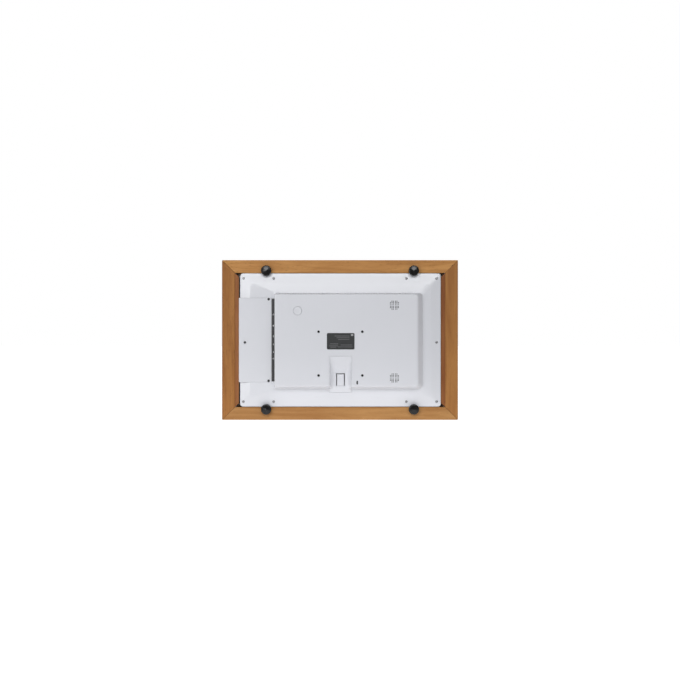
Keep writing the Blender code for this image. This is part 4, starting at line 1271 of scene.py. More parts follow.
def socket_mesh():
    """The stand socket: a scoop with rounded flanks, grip marks and a window for the tab."""
    floor = scoop_floor()
    foot = box_foot_line()
    edge = SOCKET_HALF - SOCKET_RIM
    columns = [-SOCKET_HALF, -edge - 0.0004]
    flank = [edge - FLANK_RUN * (1 - math.cos(i * math.pi / 24)) for i in range(13)]
    columns += [-x for x in flank]
    inner = edge - FLANK_RUN
    columns += [inner * (i / 20 - 1) for i in range(1, 40)]
    columns += flank[::-1]
    columns += [edge + 0.0004, SOCKET_HALF]
    rows = [SOCKET_BOTTOM + 0.0007 * i for i in range(19)]
    rows += [rows[-1] + 0.0019 * i for i in range(1, 19)]
    rows += [rows[-1] + (SOCKET_TOP - rows[-1]) * i / 34 for i in range(1, 35)]

    def height(x, z):
        rim = between(z, foot)
        low = between(z, floor)
        share = min(max((edge - abs(x)) / FLANK_RUN, 0.0), 1.0)
        bowl = math.sqrt(1 - (1 - share) ** 2)
        if share < 1.0:
            return rim + (low - rim) * bowl
        fade = math.exp(-(((z - RIB_Z) / RIB_BAND) ** 2))
        ribs = RIB_HEIGHT * fade * (1 + math.cos(2 * math.pi * x / RIB_PITCH))
        row = 0.0
        if abs(z - BUMP_Z) < BUMP_PITCH:
            row = max(abs(math.cos(math.pi * (z - BUMP_Z) / BUMP_PITCH)) - 0.75, 0.0)
        bumps = BUMP_HEIGHT * row * max(math.cos(2 * math.pi * x / BUMP_PITCH), 0.0)
        return low + ribs + bumps

    def build(bm):
        top = [[bm.verts.new((x, height(x, z), z)) for x in columns] for z in rows]
        for low, high in zip(top, top[1:]):
            for i in range(len(columns) - 1):
                bm.faces.new((low[i], low[i + 1], high[i + 1], high[i]))
        ring = top[0] + [row[-1] for row in top[1:]]
        ring += top[-1][-2::-1] + [row[0] for row in top[-2:0:-1]]
        under = [bm.verts.new((vertex.co.x, SOCKET_UNDER, vertex.co.z)) for vertex in ring]
        for i in range(len(ring)):
            j = (i + 1) % len(ring)
            bm.faces.new((ring[i], ring[j], under[j], under[i]))
        bm.faces.new(under)

    def window(bm):
        half = TAB_WIDTH / 2 + TAB_SLOT
        loop = rounded(-half, half, TAB_LOW - GAP, TAB_HIGH + TAB_SLOT, [0.0012] * 4, 5)
        add_plate(bm, loop, SOCKET_UNDER - 0.001, BOX_FACE)

    mesh = carved(mesh_from("scoop_socket", build), mesh_from("tab_window", window))
    mesh.transform(Matrix.Translation((SOCKET_X, 0.0, 0.0)))
    return mesh


def tab_mesh():
    """The sprung tongue in the scoop's floor, with a low grip at its free end."""
    floor = scoop_floor()
    half = TAB_WIDTH / 2
    columns = [half * (i / 10 - 1) for i in range(21)]
    rows = [TAB_LOW + (TAB_HIGH - TAB_LOW) * i / 40 for i in range(41)]

    def height(x, z):
        along = (z - TAB_LOW) / (TAB_HIGH - TAB_LOW)
        fade = math.exp(-(((along - GRIP_PLACE) / GRIP_SPREAD) ** 2))
        grip = GRIP_HEIGHT * fade * (1 - (x / half) ** 4)
        return between(z, floor) - 0.0002 + grip

    def build(bm):
        top = [[bm.verts.new((x, height(x, z), z)) for x in columns] for z in rows]
        low = [
            [bm.verts.new((x, between(z, floor) - TAB_THICKNESS, z)) for x in columns] for z in rows
        ]
        for sheet in (top, low):
            for first, second in zip(sheet, sheet[1:]):
                for i in range(len(columns) - 1):
                    bm.faces.new((first[i], first[i + 1], second[i + 1], second[i]))
        for sheet_edge in ((top[0], low[0]), (top[-1], low[-1])):
            for i in range(len(columns) - 1):
                bm.faces.new(
                    (sheet_edge[0][i], sheet_edge[0][i + 1], sheet_edge[1][i + 1], sheet_edge[1][i])
                )
        for side in (0, -1):
            for i in range(len(rows) - 1):
                bm.faces.new((top[i][side], top[i + 1][side], low[i + 1][side], low[i][side]))

    mesh = eased(mesh_from("sprung_tab", build), 0.00035, angle=math.radians(60))
    mesh.transform(Matrix.Translation((SOCKET_X, 0.0, 0.0)))
    return mesh


def side_cover_mesh():
    """The plate over the side, folded down at the module's edge."""
    right = OPENING_HALF_X - SPACER_WIDTH - 2 * GAP
    left = STRIP_RIGHT + GAP
    section = filleted(
        [
            (left, PLATEAU - WALL),
            (left, PLATEAU),
            (right, PLATEAU),
            (right, -SKIRT_DEPTH),
            (right - WALL, -SKIRT_DEPTH),
            (right - WALL, PLATEAU - WALL),
        ],
        [0.0, 0.0003, 0.0016, 0.0, 0.0, 0.0006],
        steps=5,
    )
    mesh = mesh_from(
        "side_cover", lambda bm: add_bar(bm, section, -SIDE_COVER_HALF, SIDE_COVER_HALF)
    )
    mesh = eased(mesh, 0.00035)

    def holes(bm):
        for x, z in side_screw_places().values():
            add_bore(bm, x, z, SHANK_RADIUS + SLIDING_GAP, PLATEAU, 2 * WALL, 0.0002, 24)

    return carved(mesh, mesh_from("side_cover_holes", holes))


def add_port_mouth(bm, name, depth, shell):
    """A port's mouth as a cutter running along X, open towards the strip."""
    z, length, thickness, bore = PORTS[name]
    middle = BOARD_BACK + GAP + thickness / 2
    ends = (STRIP_WALL_IN - depth, STRIP_WALL_OUT + 0.001)
    if bore:
        loop = arc((middle, z), bore, 0.0, 2 * math.pi * 31 / 32, 31)
    else:
        half = (thickness / 2 - shell, length / 2 - shell)
        corner = 0.0012 if name == "hdmi_port" else 0.0003
        low, high = middle - half[0], middle + half[0]
        loop = rounded(low, high, z - half[1], z + half[1], [corner] * 4, 4)
    add_prism(bm, loop, lambda point, end: (ends[end], point[0], point[1]))


def port_strip_mesh():
    """The dark strip with a mouth for each port."""
    low = PLATEAU + GAP
    section = filleted(
        [
            (STRIP_WALL_IN, low),
            (STRIP_RIGHT, low),
            (STRIP_RIGHT, low + STRIP_THICKNESS),
            (STRIP_WALL_OUT, low + STRIP_THICKNESS),
            (STRIP_WALL_OUT, low + STRIP_WALL_HEIGHT),
            (STRIP_WALL_IN, low + STRIP_WALL_HEIGHT),
        ],
        [0.0, 0.0, 0.0003, 0.0004, 0.0003, 0.0],
    )
    mesh = mesh_from("port_strip", lambda bm: add_bar(bm, section, -STRIP_HALF, STRIP_HALF))
    mouths = []
    for name in PORTS:
        mouths.append(
            mesh_from(
                f"{name}_mouth", lambda bm, name=name: add_port_mouth(bm, name, 0.001, 0.0006)
            )
        )
    return carved(mesh, *mouths)


def strip_marks(bm):
    """Blank moulded signs beside each port: a bar, a ring or a square for each kind."""
    low = PLATEAU + GAP + STRIP_THICKNESS - 0.0001
    high = low + 0.00018
    x = (STRIP_WALL_OUT + STRIP_RIGHT) / 2
    for name, (z, _, _, bore) in PORTS.items():
        if bore:
            ring = [(0.0012, low), (0.0012, high), (0.0017, high), (0.0017, low)]
            add_turned(bm, ring, x, z, 24)
            add_plate(
                bm, rounded(-0.0005, 0.0005, -0.0005, 0.0005, [0.0005] * 4, 4), low, high, x, z
            )
        elif name == "card_slot":
            add_plate(
                bm, rounded(-0.0013, 0.0013, -0.0017, 0.0017, [0.0004] * 4, 3), low, high, x, z
            )
        else:
            half = 0.0026 if name == "hdmi_port" else 0.0019
            add_plate(bm, rounded(-0.00055, 0.00055, -half, half, [0.0004] * 4, 3), low, high, x, z)


def port_inserts(bm):
    """Contact tongues of the rectangular ports and the pin of the power inlet."""
    right = STRIP_WALL_IN - 0.0018
    left = STRIP_WALL_IN - PORT_DEPTH + 0.0015
    for name, (z, length, thickness, bore) in PORTS.items():
        middle = BOARD_BACK + GAP + thickness / 2
        if name == "dc_jack":
            loop = arc((middle, z), 0.0009, 0.0, 2 * math.pi * 15 / 16, 15)
            add_prism(bm, loop, lambda point, end: (right if end else left, point[0], point[1]))
        elif not bore and name != "card_slot":
            add_block(
                bm,
                (left, middle - 0.0008, z - length / 2 + 0.0022),
                (right, middle + 0.0008, z + length / 2 - 0.0022),
            )


def button_mesh():
    """A round button with a dished face, an eased rim and a flange behind the wall."""
    under = BOX_FACE - WALL - SLIDING_GAP
    top = BOX_FACE + BUTTON_PROUD
    dish = [
        (BUTTON_RADIUS * 0.86 * i / 10, top - BUTTON_DISH * (1 - (i / 10) ** 2))
        for i in range(11)
    ]
    centre = (BUTTON_RADIUS - BUTTON_ROUNDING, top - BUTTON_ROUNDING)
    rim = arc(centre, BUTTON_ROUNDING, math.pi / 2, -math.pi / 2, 6)
    flange = BUTTON_RADIUS + FLANGE_WIDTH
    rest = [
        (BUTTON_RADIUS, under),
        (flange, under),
        (flange, under - FLANGE_THICKNESS),
        (0.0025, under - FLANGE_THICKNESS),
        (0.0025, under - 0.0024),
        (0.0, under - 0.0024),
    ]
    profile = [(0.0, dish[0][1]), *dish[1:], *rim, *rest]
    return mesh_from("round_button", lambda bm: add_turned(bm, profile, BUTTON_X, BUTTON_Z, 96))


def screw_mesh(name, radius, dome, recess):
    """A screw with a domed head, a cross recess and a plain shank, its seat at height 0."""
    crown = [
        (radius * math.cos(a), SCREW_BRIM + dome * math.sin(a))
        for a in [i * math.pi / 16 for i in range(8)]
    ]
    profile = [(0.0, SCREW_BRIM + dome), *crown[::-1], (radius, 0.0), (SHANK_RADIUS, 0.0)]
    profile += [
        (SHANK_RADIUS, -SCREW_LENGTH + 0.001),
        (SHANK_RADIUS * 0.4, -SCREW_LENGTH),
        (0.0, -SCREW_LENGTH),
    ]
    mesh = mesh_from(name, lambda bm: add_turned(bm, profile, 0.0, 0.0, 40))

    def cross(bm):
        arm = radius * 0.62
        thin = radius * 0.13
        loop = [(thin, thin), (thin, arm), (-thin, arm), (-thin, thin), (-arm, thin), (-arm, -thin)]
        loop += [
            (-thin, -thin), (-thin, -arm), (thin, -arm), (thin, -thin), (arm, -thin), (arm, thin)
        ]

        def place(point, end):
            share = 1.0 if end else 0.45
            height = 0.005 if end else SCREW_BRIM + dome - recess
            return (point[0] * share, height, point[1] * share)

        add_prism(bm, loop, place)

    return carved(mesh, mesh_from("cross_recess", cross))


def knob_mesh(settings):
    """A thumbscrew: a shallow coned face, a rounded rim, a fluted grip and a threaded stud."""
    rim = 0.0026
    edge = KNOB_RADIUS - rim
    cone = 0.0011
    face = [(0.0, KNOB_HEIGHT), (0.0012, KNOB_HEIGHT - 0.00006)]
    face += [(edge * i / 6, KNOB_HEIGHT - cone * i / 6) for i in range(1, 6)]
    lean = math.atan2(cone, edge)
    top = KNOB_HEIGHT - cone - rim * math.cos(lean) + 0.00001
    start = math.pi / 2 - lean
    centre = (edge - rim * math.sin(lean) + 0.0002, top)
    face += arc(centre, KNOB_RADIUS - centre[0], start, -start, 12)
    grip = [(KNOB_RADIUS, top * (1 - i / 8)) for i in range(1, 8)]
    foot = arc((KNOB_RADIUS - 0.0006, 0.0006), 0.0006, 0.0, -math.pi / 2, 4)
    profile = face + grip + foot + [(STUD_RADIUS + 0.0002, 0.0)]
    turns = 10

    def fluted(radius, height, angle):
        if radius < KNOB_RADIUS - 0.0007 or height > top or height < 0.0006:
            return radius
        fade = min((height - 0.0006) / 0.0008, (top - height) / 0.0012, 1.0)
        return radius - settings.flute_depth * fade * (
            0.5 - 0.5 * math.cos(settings.flutes * angle)
        )

    def threaded(radius, height, angle):
        if height > -0.0008 or height < -STUD_LENGTH + 0.0005:
            return radius
        share = (height / STUD_PITCH - angle / (2 * math.pi)) % 1.0
        return radius - THREAD_DEPTH * abs(2 * share - 1)

    levels = int(STUD_LENGTH / STUD_PITCH) * turns // 2
    stud = [(STUD_RADIUS, -STUD_LENGTH * i / levels) for i in range(levels)]

    def build(bm):
        add_turned(bm, profile + [(STUD_RADIUS, -0.0001)] + [(0.0, -0.0001)], 0.0, 0.0, 160, fluted)
        add_turned(
            bm,
            [(0.0, 0.0005)] + stud + [(STUD_RADIUS * 0.8, -STUD_LENGTH), (0.0, -STUD_LENGTH)],
            0.0,
            0.0,
            24,
            threaded,
        )

    return mesh_from("thumb_knob", build)


def ring_mesh(name, inner, outer, low, high, rounding, sides=72, ripple=None):
    """A flat ring with rounded edges."""
    profile = filleted(
        [(inner, low), (outer, low), (outer, high), (inner, high)], [rounding] * 4, steps=3
    )
    return mesh_from(name, lambda bm: add_turned(bm, profile, 0.0, 0.0, sides, ripple))


# Operators


class PHOTOFRAME_OT_surround(bpy.types.Operator):
    """Make the mitred oak surround and the two spacer strips."""

    bl_idname = "photoframe.surround"
    bl_label = "Wooden surround"

    def execute(self, context):
        settings = context.scene.photoframe_surround
        bores = mesh_from(
            "insert_bores",
            lambda bm: [
                add_bore(bm, x, z, INSERT_RADIUS + GAP, 0.0, INSERT_LENGTH + GAP, 0.0004)
                for x, z in knob_places().values()
            ],
        )
        # Each member's length, its turn, where its figure starts and a colour tint. The tints make
        # the top and bottom rails lighter than the stiles: painted light, for how the light from
        # above and below falls across or along the grain.
        members = {
            "frame_bottom_rail": (FRAME_WIDTH, 0.0, (0.0, 0.0, 0.0), (1.06, 1.00, 0.80)),
            "frame_top_rail": (FRAME_WIDTH, math.pi, (3.1, 0.7, 1.9), (1.30, 1.19, 0.86)),
            "frame_left_stile": (FRAME_HEIGHT, math.pi / 2, (5.3, 2.2, 0.4), (0.88, 0.72, 0.46)),
            "frame_right_stile": (FRAME_HEIGHT, -math.pi / 2, (7.7, 4.1, 2.8), (0.87, 0.69, 0.42)),
        }
        for node, (length, turn, offset, tint) in members.items():
            along_x = length == FRAME_WIDTH
            stretch = (1.0, 11.0, 11.0) if along_x else (11.0, 11.0, 1.0)
            light = [channel * share for channel, share in zip(settings.light, tint)]
            dark = [channel * share for channel, share in zip(settings.dark, tint)]
            mesh = wood_member(node, length, turn, settings)
            if along_x:
                mesh = carved(mesh, bores)
            material = wood_finish(f"oak_{node}", stretch, offset, light, dark)
            add_piece(f"oak_{node}", mesh, material, "frame", [node])
        outer = OPENING_HALF_X - GAP
        inner = outer - SPACER_WIDTH
        long_half = OPENING_HALF_Z - GAP
        short_half = long_half - SPACER_WIDTH
        outline = [
            (inner, short_half), (inner, -short_half), (outer, -long_half), (outer, long_half)
        ]
        # The tints make the spacer strips darker than the stiles: painted shade for the band that
        # lies in shade beside the cover.
        for side, sign, tint in (
            ("left", -1, (0.62, 0.42, 0.30)), ("right", 1, (0.72, 0.52, 0.40))
        ):
            loop = [(sign * x, z) for x, z in outline]
            mesh = mesh_from(f"spacer_{side}", lambda bm: add_plate(bm, loop, SPACER_FRONT, 0.0))
            mesh = eased(mesh, 0.0006)
            light = [channel * share for channel, share in zip(settings.light, tint)]
            dark = [channel * share for channel, share in zip(settings.dark, tint)]
            material = wood_finish(
                f"oak_spacer_{side}", (11.0, 11.0, 1.0), (9.0 + sign, 3.0, 6.0), light, dark
            )
            add_piece(
                f"oak_spacer_{side}", mesh, material, "frame", [f"spacer_{side}"]
            )
        return {"FINISHED"}


class PHOTOFRAME_OT_glazing(bpy.types.Operator):
    """Finish the glass, the card mat, the module's front shell and the display."""

    bl_idname = "photoframe.glazing"
    bl_label = "Glazing and display"

    def execute(self, context):
        dress("front_glass", clear_glass("clear_glazing"))
        low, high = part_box("mat_board")
        window_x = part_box("lcd_panel")[1].x - 0.0090 - 0.003
        window_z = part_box("lcd_panel")[1].z - MIDDLE.z - 0.0090 - 0.003
        front = low.y - REAR_Y
        back = high.y - REAR_Y

        def mat(bm):
            half_x, half_z = high.x, high.z - MIDDLE.z
            cut = 0.0016
            loops = [
                [
                    (sx * half_x, front, sz * half_z)
                    for sx, sz in ((1, 1), (-1, 1), (-1, -1), (1, -1))
                ],
                [
                    (sx * window_x, front, sz * window_z)
                    for sx, sz in ((1, 1), (-1, 1), (-1, -1), (1, -1))
                ],
                [
                    (sx * (window_x - cut), back, sz * (window_z - cut))
                    for sx, sz in ((1, 1), (-1, 1), (-1, -1), (1, -1))
                ],
                [
                    (sx * half_x, back, sz * half_z)
                    for sx, sz in ((1, 1), (-1, 1), (-1, -1), (1, -1))
                ],
            ]
            rings = [[bm.verts.new(point) for point in loop] for loop in loops]
            for ring, other in zip(rings, rings[1:] + rings[:1]):
                for i in range(4):
                    j = (i + 1) % 4
                    bm.faces.new((ring[i], ring[j], other[j], other[i]))

        card = card_finish("laid_card")
        add_piece(
            "bevel_cut_mat",
            mesh_from("bevel_cut_mat", mat),
            card,
            "frame",
            ["mat_board"],
        )
        shell = finish("black_shell", (0.012, 0.012, 0.013), 0.45, dust=0.1)
        dress("front_housing", shell)
        dress("lcd_panel", dark_screen("unlit_display"))
        film = finish("white_film", (0.80, 0.81, 0.82), 0.5, wear=0.0, dust=0.0)
        dress("diffuser_stack", film)
        dress("light_guide", film)
        return {"FINISHED"}


class PHOTOFRAME_OT_insides(bpy.types.Operator):
    """Finish what lies under the covers."""

    bl_idname = "photoframe.insides"
    bl_label = "Insides"

    def execute(self, context):
        steel = finish(
            "zinc_plated_steel",
            (0.50, 0.50, 0.51),
            0.34,
            metallic=1.0,
            grain=300.0,
            tone=0.12,
            worn=1.1,
        )
        aluminium = finish(
            "brushed_aluminium",
            (0.62, 0.63, 0.65),
            0.36,
            metallic=1.0,
            grain=240.0,
            stretch=(1.0, 6.0, 6.0),
            tone=0.08,
            worn=1.1,
        )
        board = board_finish("circuit_board")
        for node in ("lcd_bezel", "chassis_plate"):
            dress(node, steel)
        for node in ("backlight_pan", "heatsink"):
            dress(node, aluminium)
        for node in ("main_board", "led_driver_board", "button_board", "led_bar"):
            dress(node, board)
        paper = finish(
            "speaker_paper", (0.02, 0.02, 0.021), 0.85, grain=500.0, depth=0.00006, wear=0.0
        )
        cloth = cloth_finish("speaker_cloth")
        for number, (node, z) in enumerate(
            zip(("speaker_upper", "speaker_lower"), SPEAKER_Z), start=1
        ):
            dress(node, paper)
            top = BOX_FACE - WALL - 0.00005
            profile = [(0.0, top), (0.0142, top), (0.0142, top - 0.00022), (0.0, top - 0.00022)]
            mesh = mesh_from(
                "grille_cloth", lambda bm, z=z: add_turned(bm, profile, SPEAKER_X, z, 48)
            )
            add_piece(f"grille_cloth_{number}", mesh, cloth, "frame")
        return {"FINISHED"}


class PHOTOFRAME_OT_rear_cover(bpy.types.Operator):
    """Make the white rear cover with its vents, holes and recesses."""

    bl_idname = "photoframe.rear_cover"
    bl_label = "Rear cover"

    def execute(self, context):
        settings = context.scene.photoframe_cover
        outer = cover_rings(settings.slope_softness)
        mesh = mesh_from("rear_cover", lambda bm: add_shell(bm, outer, inner_rings()))
        mesh = carved(mesh, *cover_cutters(edge_profile(settings.slope_softness)))
        if len(mesh.polygons) < 1000:
            raise RuntimeError("the rear cover's cuts left too little of it")
        material = finish(
            "white_moulding",
            settings.colour,
            settings.roughness,
            grain=1500.0,
            tone=0.012,
            wear=0.15,
            coat=1.0,
        )
        add_piece("moulded_rear_cover", mesh, material, "frame", ["rear_cover"])
        # Black backings behind the vents and holes paint the shade inside the cover.
        black = finish("painted_shade_black", (0.010, 0.010, 0.011), 0.7, grain=700.0, tone=0.2, wear=0.0)
        add_piece(
            "painted_shade_backings",
            mesh_from("painted_shade_backings", painted_shade_backings),
            black,
            "frame",
        )
        steel = finish(
            "mount_steel",
            (0.11, 0.11, 0.115),
            0.4,
            metallic=1.0,
            grain=600.0,
            tone=0.2,
            wear_radius=0.0002,
        )
        add_piece(
            "mount_sleeves",
            mesh_from("mount_sleeves", mount_sleeves),
            steel,
            "frame",
            sharp=0.5,
        )
        return {"FINISHED"}


class PHOTOFRAME_OT_side_cover(bpy.types.Operator):
    """Make the removable side cover."""

    bl_idname = "photoframe.side_cover"
    bl_label = "Side cover"

    def execute(self, context):
        settings = context.scene.photoframe_cover
        colour = [channel * 1.0 for channel in settings.colour]
        material = finish(
            "side_moulding",
            colour,
            settings.roughness + 0.03,
            grain=1500.0,
            tone=0.015,
            wear=0.2,
            coat=1.0,
        )
        add_piece(
            "moulded_side_cover",
            side_cover_mesh(),
            material,
            "frame",
            ["side_cover"],
        )
        return {"FINISHED"}


class PHOTOFRAME_OT_ports(bpy.types.Operator):
    """Make the port strip, its blank signs and what shows in the ports."""

    bl_idname = "photoframe.ports"
    bl_label = "Port strip"

    def execute(self, context):
        dark = finish("dark_strip", (0.055, 0.055, 0.060), 0.5, grain=1200.0, tone=0.08, worn=1.8)
        signs = finish("sign_print", (0.72, 0.72, 0.74), 0.55, wear=0.0)
        shell = finish("port_steel", (0.55, 0.55, 0.57), 0.28, metallic=1.0, grain=500.0, tone=0.06)
        inner = finish("port_plastic", (0.012, 0.012, 0.013), 0.35, tone=0.1)
        add_piece("port_strip", port_strip_mesh(), dark, "frame", ["io_plate"])
        add_piece("port_signs", mesh_from("port_signs", strip_marks), signs, "frame")
        add_piece(
            "port_contacts", mesh_from("port_contacts", port_inserts), inner, "frame"
        )
        for node, (_, _, _, bore) in PORTS.items():
            dress(node, inner if bore else shell)
        return {"FINISHED"}


class PHOTOFRAME_OT_stand_socket(bpy.types.Operator):
    """Make the scoop for a stand's neck and its release tab."""

    bl_idname = "photoframe.stand_socket"
    bl_label = "Stand socket"

    def execute(self, context):
        settings = context.scene.photoframe_cover
        material = finish(
            "socket_moulding",
            settings.colour,
            settings.roughness,
            grain=1500.0,
            tone=0.012,
            wear=0.2,
            coat=1.0,
        )
        add_piece(
            "scoop_socket", socket_mesh(), material, "frame", ["stand_socket"]
        )
        add_piece("sprung_tab", tab_mesh(), material, "tab", ["release_tab"])
        return {"FINISHED"}


class PHOTOFRAME_OT_button(bpy.types.Operator):
    """Make the round power button."""

    bl_idname = "photoframe.button"
    bl_label = "Power button"

    def execute(self, context):
        settings = context.scene.photoframe_cover
        material = finish(
            "button_moulding",
            settings.colour,
            settings.roughness,
            grain=1500.0,
            tone=0.012,
            wear=0.25,
            coat=1.0,
        )
        add_piece(
            "round_button", button_mesh(), material, "button", ["power_button"]
        )
        return {"FINISHED"}


class PHOTOFRAME_OT_label(bpy.types.Operator):
    """Make the rating label with blank bars in place of its print."""

    bl_idname = "photoframe.label"
    bl_label = "Rating label"

    def execute(self, context):
        settings = context.scene.photoframe_label
        half_x, half_z = LABEL_WIDTH / 2, LABEL_HEIGHT / 2
        loop = rounded(-half_x, half_x, -half_z, half_z, [LABEL_RADIUS] * 4, 8)
        low = BOX_FACE - LABEL_THICKNESS
        mesh = mesh_from("label", lambda bm: add_plate(bm, loop, low, BOX_FACE, LABEL_X, LABEL_Z))
        mesh = eased(mesh, 0.00008, segments=1)
        ground = finish(
            "label_ground", settings.ground, 0.42, grain=1800.0, tone=0.05, wear=0.0, dust=0.05
        )
        add_piece("printed_label", mesh, ground, "frame", ["rating_label"])

        def bars(bm):
            top = BOX_FACE + 0.00004
            under = BOX_FACE - 0.0001
            rows = [
                (-0.0030, 0.0120, 0.0009, 0.034),
                (-0.0052, 0.0080, 0.0008, 0.030),
                (-0.0070, 0.0042, 0.0008, 0.026),
                (0.0150, -0.0060, 0.0010, 0.018),
                (-0.0130, -0.0085, 0.0008, 0.026),
                (0.0160, -0.0105, 0.0008, 0.020),
                (-0.0100, -0.0130, 0.0008, 0.034),
                (0.0170, -0.0135, 0.0008, 0.014),
            ]
            for x, z, height, width in rows:
                loop = rounded(-width / 2, width / 2, -height / 2, height / 2, [0.0002] * 4, 2)
                add_plate(bm, loop, under, top, LABEL_X + x, LABEL_Z + z)

        print_ink = finish("label_ink", settings.print_colour, 0.5, wear=0.0, dust=0.0)
        add_piece("label_bars", mesh_from("label_bars", bars), print_ink, "frame")

        def badge(bm):
            loop = rounded(-0.0026, 0.0026, -0.0021, 0.0021, [0.0006] * 4, 4)
            place = (LABEL_X + BADGE_X, LABEL_Z + BADGE_Z)
            add_plate(bm, loop, BOX_FACE - 0.0001, BOX_FACE + 0.00005, *place)

        pale = finish("label_badge", (0.42, 0.42, 0.43), 0.4, wear=0.0, dust=0.0)
        add_piece("label_badge", mesh_from("label_badge", badge), pale, "frame")
        return {"FINISHED"}


class PHOTOFRAME_OT_screws(bpy.types.Operator):
    """Make the sunk cover screws and the bold black side screws."""

    bl_idname = "photoframe.screws"
    bl_label = "Screws"

    def execute(self, context):
        profile = edge_profile(context.scene.photoframe_cover.slope_softness)
        steel = finish(
            "screw_zinc",
            (0.34, 0.34, 0.35),
            0.34,
            metallic=1.0,
            grain=700.0,
            tone=0.1,
            wear=0.3,
            wear_radius=0.0002,
        )
        black = finish(
            "screw_oxide",
            (0.016, 0.016, 0.017),
            0.36,
            metallic=0.0,
            grain=700.0,
            tone=0.15,
            wear=0.3,
            worn=3.0,
        )
        small = screw_mesh("sunk_screw", SCREW_RADIUS, 0.0010, 0.0011)
        for node, (x, z) in cover_screw_places().items():
            mesh = small.copy()
            seat = cover_height(x, z, profile) - SCREW_SINK + GAP
            mesh.transform(
                Matrix.Translation((x, seat, z)) @ Matrix.Rotation(17.0 * x + 9.0 * z, 4, "Y")
            )
            add_piece(f"sunk_{node}", mesh, steel, "frame", [node])
        bold = screw_mesh("bold_screw", BLACK_RADIUS, 0.0017, 0.0016)
        for node, (x, z) in side_screw_places().items():
            mesh = bold.copy()
            mesh.transform(
                Matrix.Translation((x, PLATEAU + GAP, z)) @ Matrix.Rotation(23.0 * z, 4, "Y")
            )
            add_piece(f"bold_{node}", mesh, black, "frame", [node])
        return {"FINISHED"}


class PHOTOFRAME_OT_thumbscrews(bpy.types.Operator):
    """Make the four thumbscrews, their washers and the threaded inserts."""

    bl_idname = "photoframe.thumbscrews"
    bl_label = "Thumbscrews"

    def execute(self, context):
        settings = context.scene.photoframe_knob
        gloss = finish(
            "knob_gloss",
            settings.colour,
            0.13,
            grain=260.0,
            depth=0.000004,
            tone=0.1,
            worn=6.0,
            dust=0.02,
            spread=0.03,
        )
        rubber = finish(
            "washer_rubber", (0.011, 0.011, 0.011), 0.6, grain=900.0, tone=0.1, worn=2.0
        )
        brass = finish(
            "insert_brass", (0.62, 0.45, 0.19), 0.3, metallic=1.0, grain=600.0, tone=0.1, worn=1.2
        )
        knob = knob_mesh(settings)
        washer = ring_mesh(
            "washer", STUD_RADIUS + SLIDING_GAP, WASHER_RADIUS, 0.0, WASHER_THICKNESS, 0.0003
        )

        def knurl(radius, height, angle):
            return radius - (
                0.00025 * (0.5 + 0.5 * math.cos(18 * angle)) if radius > 0.0036 else 0.0
            )

        insert = ring_mesh(
            "insert",
            STUD_RADIUS + GAP,
            INSERT_RADIUS,
            -INSERT_LENGTH,
            -GAP,
            0.0003,
            sides=108,
            ripple=knurl,
        )
        base = GAP + WASHER_THICKNESS + GAP
        for name, (x, z) in knob_places().items():
            pieces = (
                (
                    f"gloss_knob_{name}",
                    knob,
                    gloss,
                    f"knob_{name}",
                    "knob_black",
                    f"thumb_knob_{name}",
                    base,
                ),
                (
                    f"rubber_washer_{name}",
                    washer,
                    rubber,
                    f"washer_{name}",
                    "washer_black",
                    f"knob_washer_{name}",
                    GAP,
                ),
                (
                    f"brass_insert_{name}",
                    insert,
                    brass,
                    "frame",
                    "insert_brass",
                    f"frame_insert_{name}",
                    0.0,
                ),
            )
            for piece, shape, material, body, slot, node, height in pieces:
                mesh = shape.copy()
                mesh.transform(Matrix.Translation((x, height, z)))
                add_piece(piece, mesh, material, body, [node])
        return {"FINISHED"}


